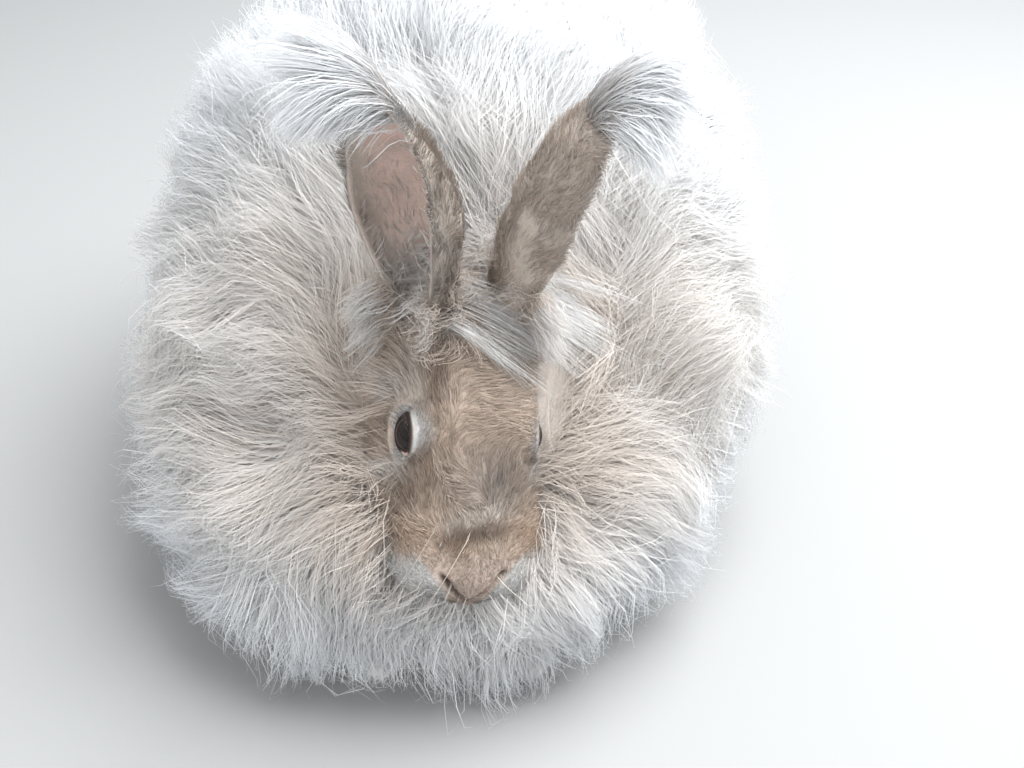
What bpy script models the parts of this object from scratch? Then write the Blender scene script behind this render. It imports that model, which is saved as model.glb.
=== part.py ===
"""An angora rabbit at life size, sitting with its forelegs tucked under and both ears up.

Every piece gives the outline out to the tips of the coat. The rabbit faces -Y, +Z is up, and the
origin is on the floor under the middle of the whole animal. All sizes are in metres.
"""

from math import asin, cos, pi, radians, sin

import bmesh
import bpy
import numpy as np
from mathutils import Matrix, Vector

# Driving dimensions of the coat ball
BODY_FRONT = -0.187
BODY_REAR = 0.187
BODY_HALF_WIDTH = 0.157
BODY_TOP = 0.268
COAT_CLEARANCE = 0.003  # the hem of the coat hangs this far above the floor
BODY_RINGS = 22
BODY_SIDES = 30

# Where the coat ball is parted
GAP = 0.0003
NECK_CUT_Y = -0.052
LOIN_CUT_Y = 0.062

# Head: length from nose to crown, and how it is held
HEAD_LENGTH = 0.138
HEAD_HALF_WIDTH = 0.0355
HEAD_DEPTH = 0.074
NOSE_TIP = Vector((0.0132, -0.1885, 0.0850))
FACE_SLOPE = radians(48.0)  # of the bridge of the nose below the horizontal
FACE_TURN = radians(20.0)  # about the length of the head, bringing its right side to the front
FACE_LEAN = radians(0.8)  # of the crown towards +X
HEAD_RINGS = 18
HEAD_SIDES = 22

# Eyes, placed in the head's own axes: along it from the nose, out to the side, below the bridge
EYE_RADIUS = 0.0088
EYE_OPENING = 0.0078
EYE_ALONG = 0.0690
EYE_OUT = 0.0222
EYE_BELOW = 0.0165
EYE_FACING_UP = radians(12.0)
EYE_SIDES = 16
EYE_RINGS = 11
SOCKET_SIDES = 14
SOCKET_STEPS = 6
SOCKET_WIDENING = 0.0015  # of the hole in front of the eye, over its reach
SOCKET_REACH = 0.016
SOCKET_BACK = 0.0004  # radius of the small flat at the back of the socket

# Nose pad
NOSE_PAD = Vector((0.0068, 0.0046, 0.0052))
NOSE_PAD_ALONG = 0.0040
NOSE_PAD_BELOW = 0.0135
NOSE_PAD_SIDES = 12
NOSE_PAD_RINGS = 8

# Ears
EAR_BASE_RIGHT = Vector((-0.0095, -0.1040, 0.1660))
EAR_TIP_RIGHT = Vector((-0.0180, -0.1160, 0.2630))
EAR_OPENING_RIGHT = Vector((-0.67, -0.74, 0.0))
EAR_BASE_LEFT = Vector((0.0245, -0.0970, 0.1700))
EAR_TIP_LEFT = Vector((0.0580, -0.1080, 0.2600))
EAR_OPENING_LEFT = Vector((0.97, 0.10, -0.20))
EAR_HALF_WIDTH_RIGHT = 0.0240
EAR_HALF_WIDTH_LEFT = 0.0225
EAR_THICKNESS = 0.0042
EAR_BEND = 0.006
EAR_RINGS = 13
EAR_STEPS = 7

# Plumes of long hair at the ear tips: how far they sweep sideways, up and forward
PLUME_SWEEP_RIGHT = Vector((-0.052, -0.004, 0.002))
PLUME_SWEEP_LEFT = Vector((0.036, -0.006, -0.026))
PLUME_RISE = 0.012
PLUME_HALF_HEIGHT = 0.0185
PLUME_HALF_THICKNESS = 0.0085
PLUME_RINGS = 12
PLUME_SIDES = 14

# Legs: side distance from the middle
FORELEG_X = 0.034
HINDLEG_X = 0.0875
HINDLEG_SWAY = -0.004  # the hind quarters lie this far to the rabbit's right
LEG_SIDES = 16

# Tail
TAIL_CENTRE = Vector((0.0, 0.176, 0.080))
TAIL_SEMI_AXES = Vector((0.030, 0.024, 0.036))
TAIL_SIDES = 16
TAIL_RINGS = 11


def smooth_curve(*points):
    """A function through (place, value) points: a cubic whose slopes never overshoot them."""
    places, values = np.array(points, float).T
    steps = np.diff(places)
    slopes = np.diff(values) / steps
    tangents = np.zeros(len(places))
    tangents[0] = slopes[0]
    tangents[-1] = slopes[-1]
    for i in range(1, len(places) - 1):
        if slopes[i - 1] * slopes[i] > 0:
            tangents[i] = 2 * slopes[i - 1] * slopes[i] / (slopes[i - 1] + slopes[i])

    def value_at(place):
        place = min(max(place, places[0]), places[-1])
        i = min(int(np.searchsorted(places, place, side="right")) - 1, len(steps) - 1)
        t = (place - places[i]) / steps[i]
        start = (1 + 2 * t) * (1 - t) ** 2 * values[i] + t * (1 - t) ** 2 * steps[i] * tangents[i]
        end = t * t * (3 - 2 * t) * values[i + 1] - t * t * (1 - t) * steps[i] * tangents[i + 1]
        return start + end

    return value_at


def signed_power(value, power):
    return abs(value) ** power * (1 if value >= 0 else -1)


def clear_scene():
    for obj in list(bpy.data.objects):
        bpy.data.objects.remove(obj, do_unlink=True)


def make_material(name, colour, roughness):
    material = bpy.data.materials.new(name)
    material.use_nodes = True
    shader = material.node_tree.nodes["Principled BSDF"]
    shader.inputs["Base Color"].default_value = (*colour, 1.0)
    shader.inputs["Roughness"].default_value = roughness
    shader.inputs["Metallic"].default_value = 0.0
    return material


def add_object(name, bm, material):
    """A smooth-shaded object from a closed bmesh."""
    bmesh.ops.recalc_face_normals(bm, faces=bm.faces)
    if bm.calc_volume(signed=True) < 0:
        bmesh.ops.reverse_faces(bm, faces=bm.faces)
    mesh = bpy.data.meshes.new(name)
    bm.to_mesh(mesh)
    bm.free()
    mesh.shade_smooth()
    mesh.materials.append(material)
    obj = bpy.data.objects.new(name, mesh)
    bpy.context.scene.collection.objects.link(obj)
    return obj


def add_cutter(name, bm):
    """A wire guide that only cuts other pieces."""
    obj = add_object(name, bm, make_material(name, (0.5, 0.5, 0.5), 1.0))
    obj.hide_render = True
    obj.display_type = "WIRE"
    return obj


def cut(obj, *cutters):
    for cutter in cutters:
        modifier = obj.modifiers.new("cut_" + cutter.name, "BOOLEAN")
        modifier.operation = "DIFFERENCE"
        modifier.solver = "EXACT"
        modifier.object = cutter


def loft(rings):
    """A closed bmesh through rings of points, each ring with the same count, ends filled.

    Each four-sided patch is split the same way, so a grown copy of a shape stays outside it.
    """
    bm = bmesh.new()
    rows = []
    for ring in rings:
        rows.append([bm.verts.new(point) for point in ring])
    sides = len(rows[0])
    for row, following in zip(rows, rows[1:]):
        for i in range(sides):
            j = (i + 1) % sides
            bm.faces.new((row[i], row[j], following[j]))
            bm.faces.new((row[i], following[j], following[i]))
    bm.faces.new(rows[0])
    bm.faces.new(reversed(rows[-1]))
    return bm


def ellipsoid(centre, semi_axes, segments, rings):
    bm = bmesh.new()
    place = Matrix.Translation(centre) @ Matrix.Diagonal((*semi_axes, 1.0))
    bmesh.ops.create_uvsphere(bm, u_segments=segments, v_segments=rings, radius=1.0, matrix=place)
    return bm


# Coat ball: half width, top and hem as functions of the place along the animal, in shares of its
# full sizes
BODY_WIDTH_AT = smooth_curve(
    (0.0, 0.06), (0.03, 0.38), (0.09, 0.63), (0.20, 0.84), (0.34, 0.96), (0.52, 1.0),
    (0.68, 0.94), (0.82, 0.75), (0.93, 0.48), (0.98, 0.27), (1.0, 0.06),
)
BODY_TOP_AT = smooth_curve(
    (0.0, 0.300), (0.03, 0.375), (0.09, 0.450), (0.17, 0.530), (0.25, 0.640), (0.34, 0.770),
    (0.46, 0.920), (0.60, 1.0), (0.72, 0.985), (0.84, 0.880), (0.93, 0.700), (0.98, 0.520),
    (1.0, 0.380),
)
BODY_HEM_AT = smooth_curve(
    (0.0, 0.270), (0.015, 0.130), (0.045, 0.030), (0.08, 0.0), (0.92, 0.0), (0.955, 0.030),
    (0.985, 0.150), (1.0, 0.350),
)
BODY_SWAY_AT = smooth_curve(
    (0.0, -0.014), (0.15, -0.012), (0.5, 0.0), (0.7, -0.005), (1.0, -0.014),
)
WIDEST_HEIGHT = 0.42  # of a section's widest level, as a share of its height
UPPER_SQUARENESS = 2.05
LOWER_SQUARENESS = 2.9


def body_ring(share):
    """One upright section of the coat ball, at a share of its length from the front."""
    y = BODY_FRONT + share * (BODY_REAR - BODY_FRONT)
    half_width = BODY_HALF_WIDTH * BODY_WIDTH_AT(share)
    top = BODY_TOP * BODY_TOP_AT(share)
    hem = max(BODY_TOP * BODY_HEM_AT(share), COAT_CLEARANCE)
    middle = hem + WIDEST_HEIGHT * (top - hem)
    ring = []
    for i in range(BODY_SIDES):
        angle = 2 * pi * i / BODY_SIDES
        upper = sin(angle) >= 0
        squareness = UPPER_SQUARENESS if upper else LOWER_SQUARENESS
        height = (top - middle) if upper else (middle - hem)
        x = BODY_SWAY_AT(share) + half_width * signed_power(cos(angle), 2 / squareness)
        z = middle + height * signed_power(sin(angle), 2 / squareness)
        ring.append((x, y, z))
    return ring


def body_ball():
    shares = [0.5 - 0.5 * cos(pi * i / (BODY_RINGS - 1)) for i in range(BODY_RINGS)]
    return loft([body_ring(share) for share in shares])


def body_slab(front, rear):
    """The part of the coat ball between two upright planes across it."""
    bm = body_ball()
    for y, outwards in ((front, -1), (rear, 1)):
        if y is None:
            continue
        whole = bm.verts[:] + bm.edges[:] + bm.faces[:]
        bmesh.ops.bisect_plane(
            bm, geom=whole, plane_co=(0, y, 0), plane_no=(0, outwards, 0), clear_outer=True
        )
        rim = [edge for edge in bm.edges if edge.is_boundary]
        bmesh.ops.contextual_create(bm, geom=rim)
    return bm


# Head: half width, bridge line and jaw line along it, from the nose tip to the back of the crown
HEAD_WIDTH_AT = smooth_curve(
    (0.0, 0.10), (0.03, 0.40), (0.09, 0.70), (0.17, 0.82), (0.27, 0.84), (0.46, 0.95),
    (0.62, 1.0), (0.76, 0.98), (0.88, 0.84), (0.96, 0.55), (1.0, 0.15),
)
HEAD_BRIDGE_AT = smooth_curve(
    (0.0, -0.20), (0.03, -0.10), (0.09, -0.030), (0.18, 0.0), (0.35, 0.020), (0.60, 0.040),
    (0.78, 0.020), (0.90, -0.090), (0.97, -0.260), (1.0, -0.40),
)
HEAD_JAW_AT = smooth_curve(
    (0.0, -0.32), (0.03, -0.42), (0.10, -0.56), (0.25, -0.70), (0.50, -0.88), (0.70, -0.96),
    (0.86, -0.93), (0.96, -0.76), (1.0, -0.55),
)
HEAD_SQUARENESS = 2.25


def head_axes():
    """Columns: along the head from nose to crown, out to its left, and up from its bridge."""
    up = Vector((0, -sin(FACE_SLOPE), cos(FACE_SLOPE)))
    along = Matrix.Rotation(-FACE_LEAN, 3, up) @ Vector((0, cos(FACE_SLOPE), sin(FACE_SLOPE)))
    left = along.cross(up).normalized()
    turn = Matrix.Rotation(FACE_TURN, 3, along)
    return Matrix((along, turn @ left, turn @ up)).transposed()


HEAD_AXES = head_axes()


def in_head(along, left, up):
    """The place of a point given in the head's own axes, from its nose tip."""
    return NOSE_TIP + HEAD_AXES @ Vector((along, left, up))


def head_solid(grown):
    """The head, or with grown the same head that much larger all round."""
    rings = []
    for i in range(HEAD_RINGS):
        share = 0.5 - 0.5 * cos(pi * i / (HEAD_RINGS - 1))
        half_width = HEAD_HALF_WIDTH * HEAD_WIDTH_AT(share) + grown
        top = HEAD_DEPTH * HEAD_BRIDGE_AT(share) + grown
        bottom = HEAD_DEPTH * HEAD_JAW_AT(share) - grown
        middle = (top + bottom) / 2
        half_height = (top - bottom) / 2
        along = share * HEAD_LENGTH + grown * (2 * share - 1)
        ring = []
        for k in range(HEAD_SIDES):
            angle = 2 * pi * k / HEAD_SIDES
            left = half_width * signed_power(cos(angle), 2 / HEAD_SQUARENESS)
            up = middle + half_height * signed_power(sin(angle), 2 / HEAD_SQUARENESS)
            ring.append(in_head(along, left, up))
        rings.append(ring)
    return loft(rings)


def eye_place(side):
    """The middle of an eyeball and the way it faces. side is 1 for the left eye, -1 for the right."""
    centre = in_head(EYE_ALONG, side * EYE_OUT, -EYE_BELOW)
    facing = HEAD_AXES @ Vector((0, side * cos(EYE_FACING_UP), sin(EYE_FACING_UP)))
    return centre, facing.normalized()


def eyeball(side):
    centre, facing = eye_place(side)
    bm = ellipsoid((0, 0, 0), (EYE_RADIUS,) * 3, EYE_SIDES, EYE_RINGS)
    bm.transform(Matrix.Translation(centre) @ facing.to_track_quat("Z", "X").to_matrix().to_4x4())
    return bm


def eye_socket(side):
    """A ball a little larger than the eye that opens outwards through a round hole."""
    centre, facing = eye_place(side)
    radius = EYE_RADIUS + GAP
    mouth = pi - asin(EYE_OPENING / radius)
    profile = [(SOCKET_BACK, -radius)]
    for i in range(1, SOCKET_STEPS + 1):
        angle = mouth * i / SOCKET_STEPS
        profile.append((radius * sin(angle), -radius * cos(angle)))
    profile.append((EYE_OPENING + SOCKET_WIDENING, SOCKET_REACH))
    rings = []
    for ring_radius, height in profile:
        ring = []
        for k in range(SOCKET_SIDES):
            angle = 2 * pi * k / SOCKET_SIDES
            ring.append((ring_radius * cos(angle), ring_radius * sin(angle), height))
        rings.append(ring)
    bm = loft(rings)
    bm.transform(Matrix.Translation(centre) @ facing.to_track_quat("Z", "X").to_matrix().to_4x4())
    return bm


def nose_pad(grown):
    centre = in_head(NOSE_PAD_ALONG, 0.0, -NOSE_PAD_BELOW)
    size = NOSE_PAD + Vector((grown,) * 3)
    bm = ellipsoid((0, 0, 0), size, NOSE_PAD_SIDES, NOSE_PAD_RINGS)
    turned = Matrix((HEAD_AXES.col[1], HEAD_AXES.col[0], HEAD_AXES.col[2])).transposed()
    bm.transform(Matrix.Translation(centre) @ turned.to_4x4())
    return bm


# Ears: half width, and how far round the cup of a section reaches, from base to tip
EAR_WIDTH_AT = smooth_curve(
    (0.0, 0.56), (0.15, 0.66), (0.35, 0.88), (0.55, 1.0), (0.75, 0.97), (0.90, 0.72),
    (0.97, 0.44), (1.0, 0.22),
)
EAR_CUP_RIGHT = smooth_curve((0.0, 125.0), (0.25, 114.0), (0.5, 104.0), (0.8, 74.0), (1.0, 42.0))
EAR_CUP_LEFT = smooth_curve((0.0, 118.0), (0.2, 104.0), (0.5, 82.0), (0.8, 64.0), (1.0, 42.0))


def ear_solid(base, tip, opening, widest, cup_at, grown):
    """A cupped leaf from base to tip, hollow towards its opening, bowed slightly backwards."""
    length = (tip - base).length
    along = (tip - base) / length
    front = (opening - opening.dot(along) * along).normalized()
    across = along.cross(front)
    rings = []
    for i in range(EAR_RINGS):
        share = i / (EAR_RINGS - 1)
        place = base + along * (share * (length + 2 * grown) - grown)
        place = place - front * EAR_BEND * (4 * share * (1 - share))
        half_width = widest * EAR_WIDTH_AT(share)
        cup = radians(cup_at(share))
        radius = half_width / sin(min(cup, pi / 2))
        centre = place + front * radius * (1 + cos(cup)) / 2
        reach = cup + grown / (radius - EAR_THICKNESS)
        outer = []
        inner = []
        for k in range(EAR_STEPS + 1):
            angle = reach * (2 * k / EAR_STEPS - 1)
            direction = across * sin(angle) - front * cos(angle)
            outer.append(centre + direction * (radius + grown))
            inner.append(centre + direction * (radius - EAR_THICKNESS - grown))
        rings.append(outer + inner[::-1])
    return loft(rings)


# Plumes: half height and half thickness, from the ear's tip to the ends of the hairs
PLUME_HEIGHT_AT = smooth_curve((0.0, 0.55), (0.25, 1.0), (0.6, 0.95), (0.85, 0.6), (1.0, 0.12))
PLUME_THICKNESS_AT = smooth_curve((0.0, 0.75), (0.3, 1.0), (0.7, 0.8), (1.0, 0.2))
PLUME_START = 0.012  # below the ear's tip
PLUME_FACING = Vector((0, -1, 0.35))  # the way its flat side looks
PLUME_ARCH_UP = 5.2
PLUME_ARCH_DOWN = 3.8


def plume_solid(tip, along, sweep):
    """The bundle of long hairs that arches over from an ear's tip, flattened front to back."""
    start = tip - along * PLUME_START
    rings = []
    for i in range(PLUME_RINGS):
        share = i / (PLUME_RINGS - 1)
        rise = PLUME_RISE * (PLUME_ARCH_UP * share - PLUME_ARCH_DOWN * share * share)
        climb = PLUME_RISE * (PLUME_ARCH_UP - 2 * PLUME_ARCH_DOWN * share)
        place = start + sweep * share + Vector((0, 0, rise))
        forward = (sweep + Vector((0, 0, climb))).normalized()
        thin_way = (PLUME_FACING - PLUME_FACING.dot(forward) * forward).normalized()
        wide_way = forward.cross(thin_way)
        ring = []
        for k in range(PLUME_SIDES):
            angle = 2 * pi * k / PLUME_SIDES
            wide = PLUME_HALF_HEIGHT * PLUME_HEIGHT_AT(share) * cos(angle)
            thin = PLUME_HALF_THICKNESS * PLUME_THICKNESS_AT(share) * sin(angle)
            ring.append(place + wide_way * wide + thin_way * thin)
        rings.append(ring)
    return loft(rings)


# Legs: (height, half width, half length, middle along the animal, shift outwards) of level slices
FORELEG_SLICES = (
    (0.000, 0.0120, 0.0250, -0.142, 0.000),
    (0.008, 0.0155, 0.0310, -0.142, 0.000),
    (0.020, 0.0155, 0.0290, -0.139, 0.000),
    (0.032, 0.0150, 0.0210, -0.128, 0.001),
    (0.050, 0.0165, 0.0200, -0.122, 0.002),
    (0.072, 0.0180, 0.0200, -0.118, 0.003),
    (0.084, 0.0120, 0.0130, -0.117, 0.003),
)
HINDLEG_SLICES = (
    (0.000, 0.0130, 0.0500, 0.030, 0.000),
    (0.009, 0.0170, 0.0580, 0.032, 0.002),
    (0.020, 0.0200, 0.0600, 0.040, 0.006),
    (0.034, 0.0270, 0.0560, 0.054, 0.014),
    (0.056, 0.0340, 0.0560, 0.062, 0.024),
    (0.084, 0.0370, 0.0580, 0.064, 0.029),
    (0.112, 0.0350, 0.0540, 0.062, 0.026),
    (0.136, 0.0270, 0.0420, 0.060, 0.018),
    (0.152, 0.0140, 0.0220, 0.058, 0.010),
)


def leg_solid(slices, sway, side_distance, side, grown):
    """A leg through level slices, with a flat sole."""
    rings = []
    last = len(slices) - 1
    for i, (height, half_width, half_length, middle, outwards) in enumerate(slices):
        level = height + grown * ((i == last) - (i == 0))
        ring = []
        for k in range(LEG_SIDES):
            angle = 2 * pi * k / LEG_SIDES
            x = sway + side * (side_distance + outwards) + (half_width + grown) * cos(angle)
            y = middle + (half_length + grown) * sin(angle)
            ring.append((x, y, level))
        rings.append(ring)
    return loft(rings)


def build_eyes(material):
    eyes = []
    sockets = []
    for name, side in (("eye_left", 1), ("eye_right", -1)):
        eyes.append(add_object(name, eyeball(side), material))
        sockets.append(add_cutter(name + "_socket", eye_socket(side)))
    return eyes, sockets


def build_head(material, nose_material, sockets):
    nose = add_object("nose", nose_pad(0.0), nose_material)
    nose_cutter = add_cutter("nose_cutter", nose_pad(GAP))
    head = add_object("head", head_solid(0.0), material)
    cut(head, *sockets, nose_cutter)
    return [nose, head], [add_cutter("head_cutter", head_solid(GAP)), nose_cutter]


def build_ears(material, plume_material, head_cutters):
    pieces = []
    cutters = []
    right = (EAR_BASE_RIGHT, EAR_TIP_RIGHT, EAR_OPENING_RIGHT, EAR_HALF_WIDTH_RIGHT, EAR_CUP_RIGHT)
    left = (EAR_BASE_LEFT, EAR_TIP_LEFT, EAR_OPENING_LEFT, EAR_HALF_WIDTH_LEFT, EAR_CUP_LEFT)
    for name, shape, sweep in (("right", right, PLUME_SWEEP_RIGHT), ("left", left, PLUME_SWEEP_LEFT)):
        base, tip = shape[:2]
        along = (tip - base).normalized()
        ear = add_object("ear_" + name, ear_solid(*shape, 0.0), material)
        cut(ear, *head_cutters)
        ear_cutter = add_cutter("ear_cutter_" + name, ear_solid(*shape, GAP))
        plume = add_object("plume_" + name, plume_solid(tip, along, sweep), plume_material)
        cut(plume, ear_cutter)
        pieces += [ear, plume]
        cutters.append(ear_cutter)
    return pieces, cutters


def build_legs(material):
    legs = []
    fore_cutters = []
    hind_cutters = []
    kinds = (
        ("foreleg_", FORELEG_SLICES, 0.0, FORELEG_X, fore_cutters),
        ("hindleg_", HINDLEG_SLICES, HINDLEG_SWAY, HINDLEG_X, hind_cutters),
    )
    for kind, slices, sway, distance, cutters in kinds:
        for name, side in (("left", 1), ("right", -1)):
            solid = leg_solid(slices, sway, distance, side, 0.0)
            grown = leg_solid(slices, sway, distance, side, GAP)
            legs.append(add_object(kind + name, solid, material))
            cutters.append(add_cutter(kind + "cutter_" + name, grown))
    return legs, fore_cutters, hind_cutters


def build_tail(material):
    solid = ellipsoid(TAIL_CENTRE, TAIL_SEMI_AXES, TAIL_SIDES, TAIL_RINGS)
    grown = ellipsoid(TAIL_CENTRE, TAIL_SEMI_AXES + Vector((GAP,) * 3), TAIL_SIDES, TAIL_RINGS)
    return add_object("tail", solid, material), add_cutter("tail_cutter", grown)


def build_body(materials, head_cutters, ear_cutters, fore_cutters, hind_cutters, tail_cutter):
    ruff = add_object("neck_ruff", body_slab(None, NECK_CUT_Y - GAP / 2), materials["ruff"])
    cut(ruff, *head_cutters, *ear_cutters, *fore_cutters)
    trunk_slab = body_slab(NECK_CUT_Y + GAP / 2, LOIN_CUT_Y - GAP / 2)
    trunk = add_object("trunk", trunk_slab, materials["trunk"])
    cut(trunk, *hind_cutters)
    rump = add_object("rump", body_slab(LOIN_CUT_Y + GAP / 2, None), materials["rump"])
    cut(rump, *hind_cutters, tail_cutter)
    return [ruff, trunk, rump]


def centre_on_floor(pieces):
    """Moves every object so that the origin is on the floor under the middle of the whole."""
    bpy.context.view_layer.update()
    graph = bpy.context.evaluated_depsgraph_get()
    corners = []
    for piece in pieces:
        evaluated = piece.evaluated_get(graph)
        corners += [evaluated.matrix_world @ Vector(corner) for corner in evaluated.bound_box]
    low = Vector([min(corner[i] for corner in corners) for i in range(3)])
    high = Vector([max(corner[i] for corner in corners) for i in range(3)])
    shift = Vector((-(low.x + high.x) / 2, -(low.y + high.y) / 2, -low.z))
    for obj in bpy.data.objects:
        obj.data.transform(Matrix.Translation(shift))


def main():
    clear_scene()
    face = make_material("short_face_fur", (0.62, 0.47, 0.35), 0.8)
    coat = make_material("long_coat", (0.85, 0.79, 0.73), 0.9)
    back = make_material("back_coat", (0.90, 0.88, 0.87), 0.9)
    ear = make_material("ear_fur", (0.60, 0.44, 0.36), 0.75)
    plume = make_material("plume_hair", (0.80, 0.80, 0.83), 0.85)
    eye = make_material("eye", (0.01, 0.008, 0.008), 0.05)
    pad = make_material("nose_pad", (0.62, 0.40, 0.34), 0.45)
    eyes, sockets = build_eyes(eye)
    head_pieces, head_cutters = build_head(face, pad, sockets)
    ear_pieces, ear_cutters = build_ears(ear, plume, head_cutters)
    legs, fore_cutters, hind_cutters = build_legs(coat)
    tail, tail_cutter = build_tail(back)
    materials = {"ruff": coat, "trunk": back, "rump": back}
    body = build_body(
        materials, head_cutters, ear_cutters, fore_cutters, hind_cutters, tail_cutter
    )
    centre_on_floor([*eyes, *head_pieces, *ear_pieces, *legs, tail, *body])


main()
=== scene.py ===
"""The looks of the angora rabbit: one skin, a coat of tapered hair ribbons, eyes, whiskers, studio.

Metres, +Z up, the rabbit faces -Y. Everything is placed from the CAD frame.
"""

from math import cos, pi, radians, sin

import bmesh
import bpy
import numpy as np
from mathutils import Matrix, Vector
from mathutils.bvhtree import BVHTree


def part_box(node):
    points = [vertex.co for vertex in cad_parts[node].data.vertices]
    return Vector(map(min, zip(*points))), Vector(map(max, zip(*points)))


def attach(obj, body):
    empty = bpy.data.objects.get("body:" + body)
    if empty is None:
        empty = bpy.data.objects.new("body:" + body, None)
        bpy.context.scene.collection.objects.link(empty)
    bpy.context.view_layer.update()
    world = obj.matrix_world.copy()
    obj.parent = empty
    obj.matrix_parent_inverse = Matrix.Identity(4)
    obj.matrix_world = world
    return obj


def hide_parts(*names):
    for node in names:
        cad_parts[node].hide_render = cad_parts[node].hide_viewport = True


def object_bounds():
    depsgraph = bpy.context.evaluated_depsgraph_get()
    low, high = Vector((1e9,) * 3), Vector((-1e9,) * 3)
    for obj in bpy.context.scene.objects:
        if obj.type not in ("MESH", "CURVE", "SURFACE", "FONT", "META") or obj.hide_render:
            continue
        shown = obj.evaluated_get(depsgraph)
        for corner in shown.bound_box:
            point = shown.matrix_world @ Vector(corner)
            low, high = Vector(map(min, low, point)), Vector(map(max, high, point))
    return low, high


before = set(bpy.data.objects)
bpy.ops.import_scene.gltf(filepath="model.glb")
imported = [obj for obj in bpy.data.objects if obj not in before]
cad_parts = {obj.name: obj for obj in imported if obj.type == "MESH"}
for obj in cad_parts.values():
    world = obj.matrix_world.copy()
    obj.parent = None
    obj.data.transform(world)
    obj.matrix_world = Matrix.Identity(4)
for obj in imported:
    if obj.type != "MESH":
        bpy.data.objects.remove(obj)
CAD_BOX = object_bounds()

SEED = 11
BODY = "root"

# How the head is held, as in the CAD
FACE_SLOPE = radians(48.0)
FACE_TURN = radians(20.0)
FACE_LEAN = radians(0.8)
HEAD_LENGTH = 0.138
HEAD_HALF_WIDTH = 0.0355
HEAD_DEPTH = 0.074
EYE_ALONG = 0.0690
EYE_BELOW = 0.0165
EYE_RADIUS = 0.0088
EYE_FACING_UP = radians(12.0)

EAR_BEND = 0.006

# Camera: as the photograph was taken
CAMERA_PLACE = Vector((0.026, -0.4515, 0.410))
CAMERA_PITCH = radians(39.3)
CAMERA_LENS = 36.4
CAMERA_SENSOR = 36.0

# Coat
COAT_DEPTH = 0.055
COAT_TIMES = np.array([0.0, 0.40, 0.62, 0.79, 0.91, 1.0])
UNDERWOOL_TIMES = np.array([0.0, 0.3, 0.6, 0.85, 1.0])
CHEEK_TIMES = np.array([0.0, 0.28, 0.52, 0.72, 0.88, 1.0])
FACE_TIMES = np.array([0.0, 0.4, 0.75, 1.0])
LOCK_TIMES = np.linspace(0.0, 1.0, 8)
HAIR_KINDS = {
    # shares of its length where a hair has points, its full width, how far it may roll about its length
    "coat": (COAT_TIMES, 0.00027, radians(24)),
    "underwool": (UNDERWOOL_TIMES, 0.0014, radians(14)),
    "face": (FACE_TIMES, 0.00023, radians(30)),
    "foot": (FACE_TIMES, 0.00034, radians(30)),
    "cheek": (CHEEK_TIMES, 0.00023, radians(36)),
    "forelock": (LOCK_TIMES, 0.00023, radians(30)),
    "ear": (FACE_TIMES, 0.00026, radians(30)),
    "plume": (LOCK_TIMES, 0.00030, radians(45)),
}
MOST_TRIANGLES = 190_000  # in one coat piece
PATCH = 0.003  # a tuft's width on the bake map
BOX_MARGIN = 0.014  # how far a hair may leave the CAD's box


# Small mathematics on arrays of points

def unit(v):
    return v / np.maximum(np.linalg.norm(v, axis=-1, keepdims=True), 1e-12)


def across(a, b):
    return unit(np.cross(a, b))


def flatten_on(v, normal):
    """v without its part along normal, at unit length."""
    return unit(v - (v * normal).sum(-1, keepdims=True) * normal)


def step(value, low, high):
    """0 below low, 1 above high, smooth between them."""
    t = np.clip((value - low) / (high - low), 0, 1)
    return t * t * (3 - 2 * t)


def bump(value, middle, reach):
    return np.exp(-(((value - middle) / reach) ** 2))


def smooth_curve(*points):
    """A function through (place, value) points: a cubic whose slopes never overshoot them."""
    places, values = np.array(points, float).T
    steps = np.diff(places)
    slopes = np.diff(values) / steps
    inner = slopes[:-1] * slopes[1:]
    mean = 2 * inner / np.where(inner > 0, slopes[:-1] + slopes[1:], 1.0)
    tangents = np.concatenate([slopes[:1], np.where(inner > 0, mean, 0.0), slopes[-1:]])

    def value_at(place):
        place = np.clip(place, places[0], places[-1])
        i = np.clip(np.searchsorted(places, place, side="right") - 1, 0, len(steps) - 1)
        t = (place - places[i]) / steps[i]
        start = (1 + 2 * t) * (1 - t) ** 2 * values[i] + t * (1 - t) ** 2 * steps[i] * tangents[i]
        end = t * t * (3 - 2 * t) * values[i + 1] - t * t * (1 - t) * steps[i] * tangents[i + 1]
        return start + end

    return value_at


def srgb(red, green, blue):
    """A colour given as it looks on a screen, 0 to 255, as the shader's linear numbers."""
    return (np.array([red, green, blue], float) / 255.0) ** 2.2


WAVES = np.random.default_rng(5).normal(size=(8, 3, 3))
WAVE_STARTS = np.random.default_rng(6).uniform(0, 2 * pi, (8, 3))


def drift(places, wavelength):
    """A smooth random vector for each place, about 1 long, turning over about a wavelength."""
    total = np.zeros_like(places)
    for waves, starts in zip(WAVES, WAVE_STARTS):
        total += np.sin(places @ unit(waves).T * (2 * pi / wavelength) + starts)
    return total / 2.0


def mix(a, b, share):
    share = np.asarray(share)[..., None]
    return a * (1 - share) + b * share


def layered(colour, *layers):
    """A colour with others laid over it in turn, each given with its share."""
    for other, share in layers:
        colour = mix(colour, other, share)
    return colour


def share_of(value):
    return np.clip(value, 0, 1)


# Colours of the animal, the same for skin and hair

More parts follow.
